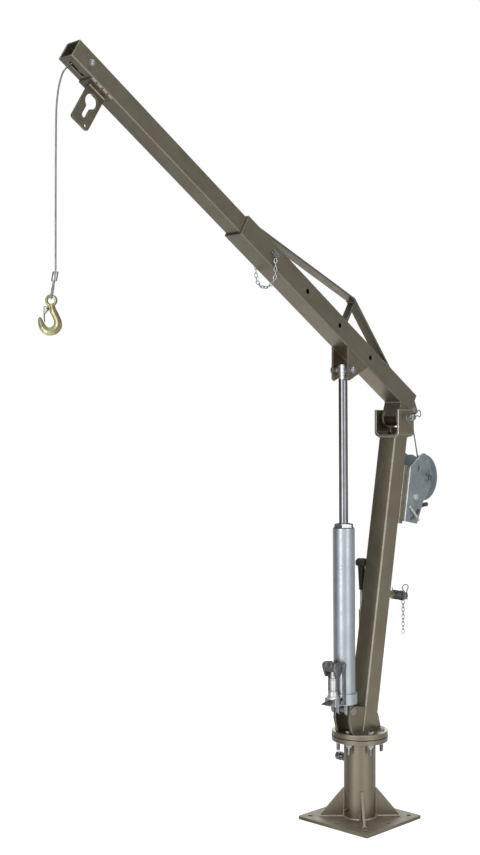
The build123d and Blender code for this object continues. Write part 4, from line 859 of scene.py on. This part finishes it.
CLIP_WAY = math.radians(165.5)
wire_clip(
    "pivot_spring_clip", "mast", ("pivot_clip",), beside(PIVOT, 68),
    Vector((math.cos(CLIP_WAY), 0, math.sin(CLIP_WAY))), Vector((math.sin(CLIP_WAY), 0, -math.cos(CLIP_WAY))),
    (
        (-18, 0), (0, 0), (26, 0), (31, -6), (39, -7), (44, 4), (40, 15), (31, 16),
        (15, 6), (10, 12.2), (0, 13.2), (-10, 12.2), (-14, 15.2),
    ),
)
POST = mast_at(-33.5, 440)
wire_clip(
    "post_spring_clip", "mast", ("post_clip",), POST + 120 * MM * MAST_BACK, MAST_UP, Vector((-0.694, 0.72, 0)),
    (
        (-15, 0), (0, 0), (14, 0), (18, -3), (22, -9), (31, -10), (38, -3), (38, 5), (31, 11), (22, 9),
        (14, 6), (8, 9), (0, 11), (-8, 9), (-12, 12),
    ),
)
# Wire wound round the post
COIL_TURNS, COIL_STEPS, COIL_R, COIL_FROM, COIL_STEP = 6, 20, 14, 52, 0.43
coil_bm = bmesh.new()
coil = [POST + MM * (48 * MAST_BACK + 22 * MAST_UP)]
for k in range(COIL_TURNS * COIL_STEPS + 1):
    way = 2 * math.pi * k / COIL_STEPS
    out = COIL_R * (math.cos(way) * MAST_UP + math.sin(way) * NEAR)
    coil.append(POST + MM * ((COIL_FROM + COIL_STEP * k) * MAST_BACK + out))
tube(coil_bm, coil, 1.5 * MM)
new_piece("post_wire", coil_bm, "steel", "mast", finish="wire")


# Bolts and pins along Y
NUT_FLAT = Vector((math.cos(0.4), 0, math.sin(0.4)))


def cross_pin(name, body, replaced, place, rounds, nuts, threads, washers=(), finish=None):
    """A pin along Y: round parts, threads and washers as (radius, from, to), nuts as (across, from, to)."""
    bm = bmesh.new()
    foot = beside(place)
    for r, low, high in rounds:
        lathe(bm, foot, NEAR, [(r - 0.6, low), (r, low + 0.6), (r, high - 0.6), (r - 0.6, high)])
    for r, low, high in washers:
        washer(bm, foot, NEAR, r, low, high)
    for across, low, high in nuts:
        hexagon(bm, foot, NEAR, NUT_FLAT, across, low, high)
    for r, low, high in threads:
        thread(bm, foot, NEAR, r, low, high, 1.8)
    new_piece(name, bm, "steel", body, replaced, finish=finish)


cross_pin(
    "pivot_bolt", "mast", ("pivot_pin",), PIVOT,
    ((10, -52, 62), (15, -59, -52)), ((23, 52, 61),), ((10, 61, 73),), ((16, -52, -49), (16, 49, 52)),
)
cross_pin(
    "lug_bolt", "boom", ("lug_pin",), LUG_PIN,
    ((8, -36.5, 44), (12, -42.5, -33.5), (12, 15.5, 27.5), (12, -27.5, -15.5)),
    ((23.2, 36.5, 44.5),), ((8, 44, 47.5),), ((12, 33.5, 36.5),),
)
cross_pin(
    "jack_bolt", "mast", ("jack_pin",), JACK_PIN,
    ((9, -44, 33.5), (12, 33.5, 38.5)), ((26.1, -44.5, -36),), ((9, -46.5, -44),), ((15, -36, -33.5),),
    "weld",
)
cross_pin(
    "tip_bolt", "extension", ("tip_axle",), TIP_PIN,
    ((5, -28.5, 35),), ((15, -33.5, -27.5), (15, 29.5, 35.5)), ((5, 35, 37.5),), ((9, 27.5, 29.5),),
)
cross_pin(
    "drum_bolt", "mast", ("drum_axle",), DRUM,
    ((8, -50, 50),), ((22, 43.5, 50), (22, -50, -43.5)), ((8, 50, 52), (8, -52, -50)),
    ((14, 42, 43.5), (14, -43.5, -42)),
)

# Dark ring in the gap between the two flanges: painted shade of that crevice
SEAM_Z, FLANGE_R = 271, 90
seam_half = ((-5, 1.5), (-0.8, 1.7), (0.4, 1.3))
seam = [(FLANGE_R + out, -h) for out, h in seam_half] + [(FLANGE_R + out, h) for out, h in seam_half[::-1]]
seam_bm = bmesh.new()
loft(seam_bm, [ring_points(mm(0, 0, SEAM_Z + h), UP, r, 96) for r, h in seam], closed=True)
new_piece("flange_gap_shade", seam_bm, "paint", "mast", finish="brown_shade")

# Bolts of the two flanges, and the swivel's lock screw
BOLT_CIRCLE, BOLT_TURN, BOLT_ACROSS = 69, 8.5, 18.6
bolts_bm = bmesh.new()
for k in range(6):
    way = math.radians(BOLT_TURN + 60 * k)
    out = Vector((math.cos(way), math.sin(way), 0))
    foot = mm(BOLT_CIRCLE * out.x, BOLT_CIRCLE * out.y, 0)
    washer(bolts_bm, foot, UP, 11, 288, 289.6)
    hexagon(bolts_bm, foot, UP, out, BOLT_ACROSS, 289.6, 296)
    lathe(bolts_bm, foot, UP, [(6, 240), (6, 289)], 20)
    hexagon(bolts_bm, foot, UP, out, BOLT_ACROSS, 245, 253.4)
    washer(bolts_bm, foot, UP, 11, 253.4, 255)
    thread(bolts_bm, foot, -UP, 6, -246, -219, 1.75)
new_piece("flange_bolt_set", bolts_bm, "steel", "mast", ("flange_bolts",))

SCREW = mm(0, 0, 188)
screw_bm = bmesh.new()
hexagon(screw_bm, SCREW, FAR, UP, 24, 78, 93)
washer(screw_bm, SCREW, FAR, 14, 75.5, 78)
thread(screw_bm, SCREW, FAR, 8, 40.3, 76, 2)
new_piece("swivel_bolt", screw_bm, "steel", "lock_screw", ("swivel_lock_screw",))

# Welds, at the heights of their middle lines
PLATE_WELD_Z, FLANGE_WELD_Z, HEAD_WELD_Z = 11, 289, 1227
BOOM_UNDER, BOOM_TOP, STRUT_TOP = 31, 99, 183.5
base_bm = bmesh.new()
weld(base_bm, circle(mm(0, 0, PLATE_WELD_Z), UP, 52.4), 4)
for k in range(4):
    way = math.radians(45 + 90 * k)
    out = Vector((math.cos(way), math.sin(way), 0))
    sideways = Vector((-math.sin(way), math.cos(way), 0))
    for edge in (4.6, -4.6):
        foot = mm(0, 0, PLATE_WELD_Z) + edge * MM * sideways
        weld(base_bm, [foot + 52 * MM * out, foot + 131 * MM * out], 3.6)
        weld(base_bm, [foot + MM * (51.4 * out + 2 * UP), foot + MM * (51.4 * out + 89 * UP)], 2.4)
new_piece("base_welds", base_bm, "paint", "base", finish="weld")

foot_bm = bmesh.new()
mast_bm = bmesh.new()
for y in (34, -34):
    weld(foot_bm, [mm(-67, y, FLANGE_WELD_Z), mm(77, y, FLANGE_WELD_Z)], 2.6)
    weld(mast_bm, [mm(24.4, y * 0.985, FLANGE_WELD_Z), mast_at(33.5, 73, y * 0.985)], 1.6)
    weld(mast_bm, [mast_at(-34, 674, y * 0.97), mast_at(-34, 866, y * 0.97)], 2.4)
weld(foot_bm, [mm(-44.5, -25, FLANGE_WELD_Z), mm(-44.5, 25, FLANGE_WELD_Z)], 2.6)
new_piece("foot_welds", foot_bm, "paint", "mast", finish="shade")
head_corners = ((-213.5, -34), (-213.5, 34), (-144.5, 34), (-144.5, -34))
head_foot = [mm(x, y, HEAD_WELD_Z) for x, y in head_corners]
weld(mast_bm, head_foot + head_foot[:1], 2.4)
weld(mast_bm, circle(POST, MAST_BACK, 17.6), 2.2)
for x in (-73, -83):
    weld(mast_bm, [mm(x, -34.5, 606), mm(x, -34.5, 654)], 2)
new_piece("mast_welds", mast_bm, "paint", "mast", finish="weld")

lug_bm = bmesh.new()
for y in (33.6, -33.6):
    weld(lug_bm, [boom_at(s, BOOM_UNDER, y) for s in (252, 368)], 2.4)
    weld(lug_bm, [boom_at(s, BOOM_UNDER, y * 0.79) for s in (254, 366)], 2.4)
new_piece("lug_welds", lug_bm, "paint", "boom", finish="boom")

boom_bm = bmesh.new()
weld(boom_bm, [boom_at(45, BOOM_UNDER, y) for y in (-33, 33)], 2.6)
for s in (930, 105):
    weld(boom_bm, [boom_at(s, BOOM_TOP, y) for y in (-18, 18)], 2.6)
for y in (18.5, -18.5):
    weld(boom_bm, [boom_at(s, BOOM_TOP, y) for s in (898, 930)], 2.2)
    weld(boom_bm, [boom_at(s, BOOM_TOP, y) for s in (105, 124)], 2.2)
for s in (390, 398):
    for v in (BOOM_TOP, STRUT_TOP):
        weld(boom_bm, [boom_at(s, v, y) for y in (-13.5, 13.5)], 2.2)
new_piece("boom_welds", boom_bm, "paint", "boom", finish="weld")

tip_bm = bmesh.new()
for y in (25, -25):
    for start in (1500, 1521, 1542, 1563):
        weld(tip_bm, [boom_at(start, 36.8, y), boom_at(start + 15, 36.8, y)], 3.2)
for y in (4, -4):
    weld(tip_bm, [boom_at(1508, 32, y), boom_at(1566, 32, y)], 2.8)
new_piece("bracket_welds", tip_bm, "paint", "extension", finish="weld")

# Winch: bent front edge in white zinc as a painted highlight, pawl spring and its lever, cotter in the axle's end
bend_highlight_bm = bmesh.new()
tube(bend_highlight_bm, [mast_at(-57, h, 40.2) for h in (683, 700, 780, 850, 861)], 2.6 * MM, 12)
new_piece("winch_bend_highlight", bend_highlight_bm, "zinc", "mast", finish="white")

SPRING_FROM, SPRING_TO = mm(-208.5, 47, 995), mm(-254, 47, 950)
spring_way = (SPRING_TO - SPRING_FROM).normalized()
spring_side = spring_way.cross(NEAR)
spring_long = (SPRING_TO - SPRING_FROM).length
SPRING_STEPS, SPRING_TURN_STEPS, SPRING_R = 120, 12, 3.8 * MM
spring = [SPRING_FROM]
for k in range(SPRING_STEPS + 1):
    way = 2 * math.pi * k / SPRING_TURN_STEPS
    at = SPRING_FROM + spring_way * spring_long * (0.18 + 0.64 * k / SPRING_STEPS)
    spring.append(at + SPRING_R * (math.cos(way) * NEAR + math.sin(way) * spring_side))
spring.append(SPRING_TO)
spring_stud = ((3.2, -0.5), (3.2, 5), (4.6, 5.4), (4.6, 7), (3, 8), (0.2, 8.3))
spring_bm = bmesh.new()
tube(spring_bm, spring, 1.1 * MM, 8)
for end in (SPRING_FROM, SPRING_TO):
    lathe(spring_bm, end - 5 * MM * NEAR, NEAR, spring_stud, 20)
new_piece("pawl_spring", spring_bm, "steel", "mast", finish="white")

lever_bm = bmesh.new()
lever_line = ((-221, 954), (-230, 958), (-240, 964), (-252, 973), (-261, 983))
for (x0, z0), (x1, z1) in zip(lever_line, lever_line[1:]):
    way = Vector((x1 - x0, 0, z1 - z0)).normalized()
    wide = 4.4 * way.cross(NEAR)
    rings = []
    for y in (42, 45):
        corners = [mm(x0, y, z0) + MM * (s * wide - 2 * way) for s in (1, -1)]
        corners += [mm(x1, y, z1) + MM * (s * wide + 2 * way) for s in (-1, 1)]
        rings.append(corners)
    loft(lever_bm, rings)
lever = new_piece("pawl_lever", lever_bm, "zinc", "mast", finish="wire")
cast_over(lever, 0.6, 4)

# Cotter's legs as (x, y, z, spread)
COTTER_WIRE = 1.2 * MM
cotter_leg = ((-304, 54.5, 1108, 1), (-309, 54, 1096, 1), (-312, 54, 1084, 1), (-315, 54, 1073, 3))
cotter_bm = bmesh.new()
for shift in (1.5, -1.5):
    tube(cotter_bm, [mm(x + apart * shift, y, z) for x, y, z, apart in cotter_leg], COTTER_WIRE, 8)
tube(cotter_bm, circle(mm(-302.6, 54.5, 1111.6), NEAR, 3.6, 20), COTTER_WIRE, 8)
lathe(cotter_bm, mm(DRUM_X, 0, DRUM_Z), NEAR, [(8, 50), (8, 57), (7, 58), (0.2, 58.4)], 24)
new_piece("axle_cotter", cotter_bm, "steel", "mast", finish="wire")

# Ribbed roller between the heel's ears, dark brown as painted shade under the heel
ROLLER_R, RIB_R, RIB_PITCH = 26.2, 27.4, 5
roller_bm = bmesh.new()
roller = [(ROLLER_R, -25)]
for k in range(10):
    rib = ((ROLLER_R, -24.6), (RIB_R, -23.4), (RIB_R, -21.6), (ROLLER_R, -20.4))
    roller += [(r, y + RIB_PITCH * k) for r, y in rib]
lathe(roller_bm, beside(PIVOT), NEAR, roller, 64)
new_piece("heel_roller", roller_bm, "paint", "boom", finish="brown_shade")

# Jack: gland nut, wiper, filler plug, cast base, links, rocker and pump barrel
gland_bm = bmesh.new()
bored_hexagon(gland_bm, jack_at(0, 0), JACK_UP, Vector((0.5, 0.866, 0)), 55, 22.3, 579.5, 592)
new_piece("gland_hexagon", gland_bm, "silver", "jack", ("gland_nut",), finish="sleeve")
wiper_bm = bmesh.new()
wiper = [(30, 577.5), (33.2, 577.5), (33.2, 579), (30, 580), (22.6, 580), (22.6, 577.5)]
loft(wiper_bm, [ring_points(jack_at(0, h), JACK_UP, r) for r, h in wiper], closed=True)
new_piece("gland_wiper", wiper_bm, "silver", "jack", finish="grip")
plug_bm = bmesh.new()
PLUG_WAY = Vector((math.cos(math.radians(22)), math.sin(math.radians(22)), 0))
plug = ((5.6, 34), (5.6, 35.8), (4.8, 36.8), (2.4, 37.2), (2, 36.2), (0.2, 36.2))
lathe(plug_bm, jack_at(0, 455), PLUG_WAY, plug, 24)
new_piece("filler_plug", plug_bm, "silver", "jack", finish="white")
cast_copy("cast_jack_base", "jack_base", "silver", "jack", 1.0, 10)
cast_copy("cast_pump_links", "pump_links", "silver", "jack", 0.7, 4, "cast")


def rocker_at(a, b, y=0.0):
    """A point in front of the pump rocker's pin, above it, and sideways."""
    return jack_at(37 + a, 150 + b, y)


rocker_bm = bmesh.new()
cheek = (
    (-8, 0), (-6, 6), (0, 8.5), (12, 10), (26, 11.5), (36, 10), (41, 5), (42, -2), (39, -12), (35, -22),
    (31, -32), (27, -37), (20, -37.5), (15, -34), (8, -22), (0, -10), (-6, -5),
)
for face in (1, -1):
    loft(rocker_bm, [[rocker_at(a, b, face * y) for a, b in cheek] for y in (21.5, 26.5)])
    lathe(rocker_bm, rocker_at(0, 0), face * NEAR, [(4, 22), (4, 31), (6.4, 31.2), (6.4, 34), (5, 34.6)], 24)
bridge = ((38, -17), (41, -17), (42, -10), (42, 6), (37, 10.5), (19, 10.5), (19, 6.5), (31, 6), (35, -4))
loft(rocker_bm, [[rocker_at(a, b, y) for a, b in bridge] for y in (-23, 23)])
SOCKET_WAY = Vector((math.cos(math.radians(24)), 0, math.sin(math.radians(24))))
lathe(
    rocker_bm, rocker_at(36, 1), SOCKET_WAY,
    [(0.2, -2), (13, -2), (13, 9), (12, 10), (8.6, 10), (8.4, 3), (0.2, 3)], 40,
)
rocker = new_piece("cast_rocker", rocker_bm, "silver", "rocker", ("pump_rocker",), finish="cast")
cast_over(rocker, 0.7, 6)

barrel_bm = bmesh.new()
barrel = (
    (21.5, 46), (21.5, 49), (18.5, 52), (16.2, 57), (14.6, 63), (14.2, 68), (12.6, 70), (9.8, 70.6), (9.8, 73),
    (11, 73.6), (11, 104), (10.2, 105), (10.2, 106.4), (11.4, 107), (11.4, 109), (10.6, 109.8),
    (8.5, 109.8), (8.5, 46),
)
loft(barrel_bm, [ring_points(jack_at(56, h), JACK_UP, r, 40) for r, h in barrel], closed=True)
new_piece("pump_barrel", barrel_bm, "silver", "jack", finish="white")


# Stage
FLOOR_R, FLOOR_MATT, FLOOR_GLOW = 40, 0.4, 0.82
# The world's strength for the rays that only light the object
WORLD_DIM = 0.8


def seen_rays(tree, *kinds):
    """1 for rays of these kinds."""
    path = tree.nodes.new("ShaderNodeLightPath")
    found = path.outputs[kinds[0]]
    for kind in kinds[1:]:
        either = add_node(tree, "ShaderNodeMath", operation="MAXIMUM")
        tree.links.new(found, either.inputs[0])
        tree.links.new(path.outputs[kind], either.inputs[1])
        found = either.outputs[0]
    return found


# Studio round the object: brightness by compass angle, in degrees from +X
studio = (
    (-180, 0.5), (-136, 0.75), (-106, 0.66), (-84, 0.3), (-66, 0.1), (-38, 0.06), (-24, 0.25), (-12, 0.9),
    (6, 1.15), (28, 1.0), (42, 0.72), (56, 0.8), (68, 1.0), (79, 1.05), (98, 0.9), (112, 0.5), (136, 0.4),
    (160, 0.36), (180, 0.5),
)


def studio_tone(tree, direction):
    """The studio's grey in a direction, or at a place on its floor."""
    split = tree.nodes.new("ShaderNodeSeparateXYZ")
    tree.links.new(direction, split.inputs[0])
    compass = add_node(tree, "ShaderNodeMath", operation="ARCTAN2")
    tree.links.new(split.outputs["Y"], compass.inputs[0])
    tree.links.new(split.outputs["X"], compass.inputs[1])
    part_turn = tree.nodes.new("ShaderNodeMapRange")
    part_turn.inputs["From Min"].default_value = -math.pi
    part_turn.inputs["From Max"].default_value = math.pi
    tree.links.new(compass.outputs[0], part_turn.inputs["Value"])
    stops = [((angle + 180) / 360, (bright, bright, bright)) for angle, bright in studio]
    return add_ramp(tree, part_turn.outputs["Result"], stops)


def white_or_studio(tree, direction):
    """White for what is seen directly or through glass, the studio's grey for the rest."""
    tint = add_node(tree, "ShaderNodeMix", data_type="RGBA")
    tree.links.new(seen_rays(tree, "Is Camera Ray", "Is Transmission Ray"), tint.inputs[0])
    tree.links.new(studio_tone(tree, direction), tint.inputs[6])
    tint.inputs[7].default_value = (1, 1, 1, 1)
    return tint.outputs[2]


def stage_material():
    """Pale floor that the camera sees as white, that metal sees as the studio, and that keeps the shadow."""
    material = bpy.data.materials.new("pale_floor")
    material.use_nodes = True
    tree = material.node_tree
    link = tree.links.new
    tree.nodes.clear()
    output = tree.nodes.new("ShaderNodeOutputMaterial")
    matt = tree.nodes.new("ShaderNodeBsdfDiffuse")
    matt.inputs["Color"].default_value = (FLOOR_MATT, FLOOR_MATT, FLOOR_MATT, 1)
    glow = tree.nodes.new("ShaderNodeEmission")
    both = tree.nodes.new("ShaderNodeAddShader")
    part = add_node(tree, "ShaderNodeMath", operation="MULTIPLY")
    part.inputs[1].default_value = FLOOR_GLOW
    link(seen_rays(tree, "Is Camera Ray", "Is Glossy Ray", "Is Transmission Ray"), part.inputs[0])
    link(part.outputs[0], glow.inputs["Strength"])
    place = tree.nodes.new("ShaderNodeNewGeometry")
    link(white_or_studio(tree, place.outputs["Position"]), glow.inputs["Color"])
    link(matt.outputs[0], both.inputs[0])
    link(glow.outputs[0], both.inputs[1])
    link(both.outputs[0], output.inputs["Surface"])
    return material


floor_bm = bmesh.new()
bmesh.ops.create_circle(floor_bm, cap_ends=True, segments=96, radius=FLOOR_R)
floor_mesh = bpy.data.meshes.new("floor")
floor_bm.to_mesh(floor_mesh)
floor_bm.free()
floor_mesh.materials.append(stage_material())
floor = add_object("floor", floor_mesh)

world = bpy.data.worlds.new("studio")
world.use_nodes = True
scene.world = world
sky = world.node_tree
background = sky.nodes["Background"]
direction = sky.nodes.new("ShaderNodeTexCoord")
sky.links.new(white_or_studio(sky, direction.outputs["Generated"]), background.inputs["Color"])
level = sky.nodes.new("ShaderNodeMapRange")
level.inputs["To Min"].default_value = WORLD_DIM
level.inputs["To Max"].default_value = 1.0
sky.links.new(seen_rays(sky, "Is Camera Ray", "Is Glossy Ray", "Is Transmission Ray"), level.inputs["Value"])
sky.links.new(level.outputs["Result"], background.inputs["Strength"])


def lamp(name, place, aim, size, power):
    """A soft rectangular lamp that the camera doesn't see."""
    light = bpy.data.lights.new(name, "AREA")
    light.shape = "RECTANGLE"
    light.size, light.size_y = size
    light.energy = power
    holder = add_object(name, light)
    holder.location = place
    holder.rotation_mode = "QUATERNION"
    holder.rotation_quaternion = (Vector(aim) - Vector(place)).to_track_quat("-Z", "Y")
    holder.visible_camera = False


lamp("key", (3.47, 0.43, 1.1), (0, 0, 1.0), (0.8, 2.1), 22)
lamp("fill", (0.68, 3.45, 1.1), (0, 0, 1.0), (0.8, 2.1), 12)
lamp("back", (-2.9, -2.7, 1.9), (0, 0, 0.4), (3.2, 2.2), 45)
lamp("top", (0.2, 0.2, 4.4), (0.2, 0, 0), (3, 3), 60)
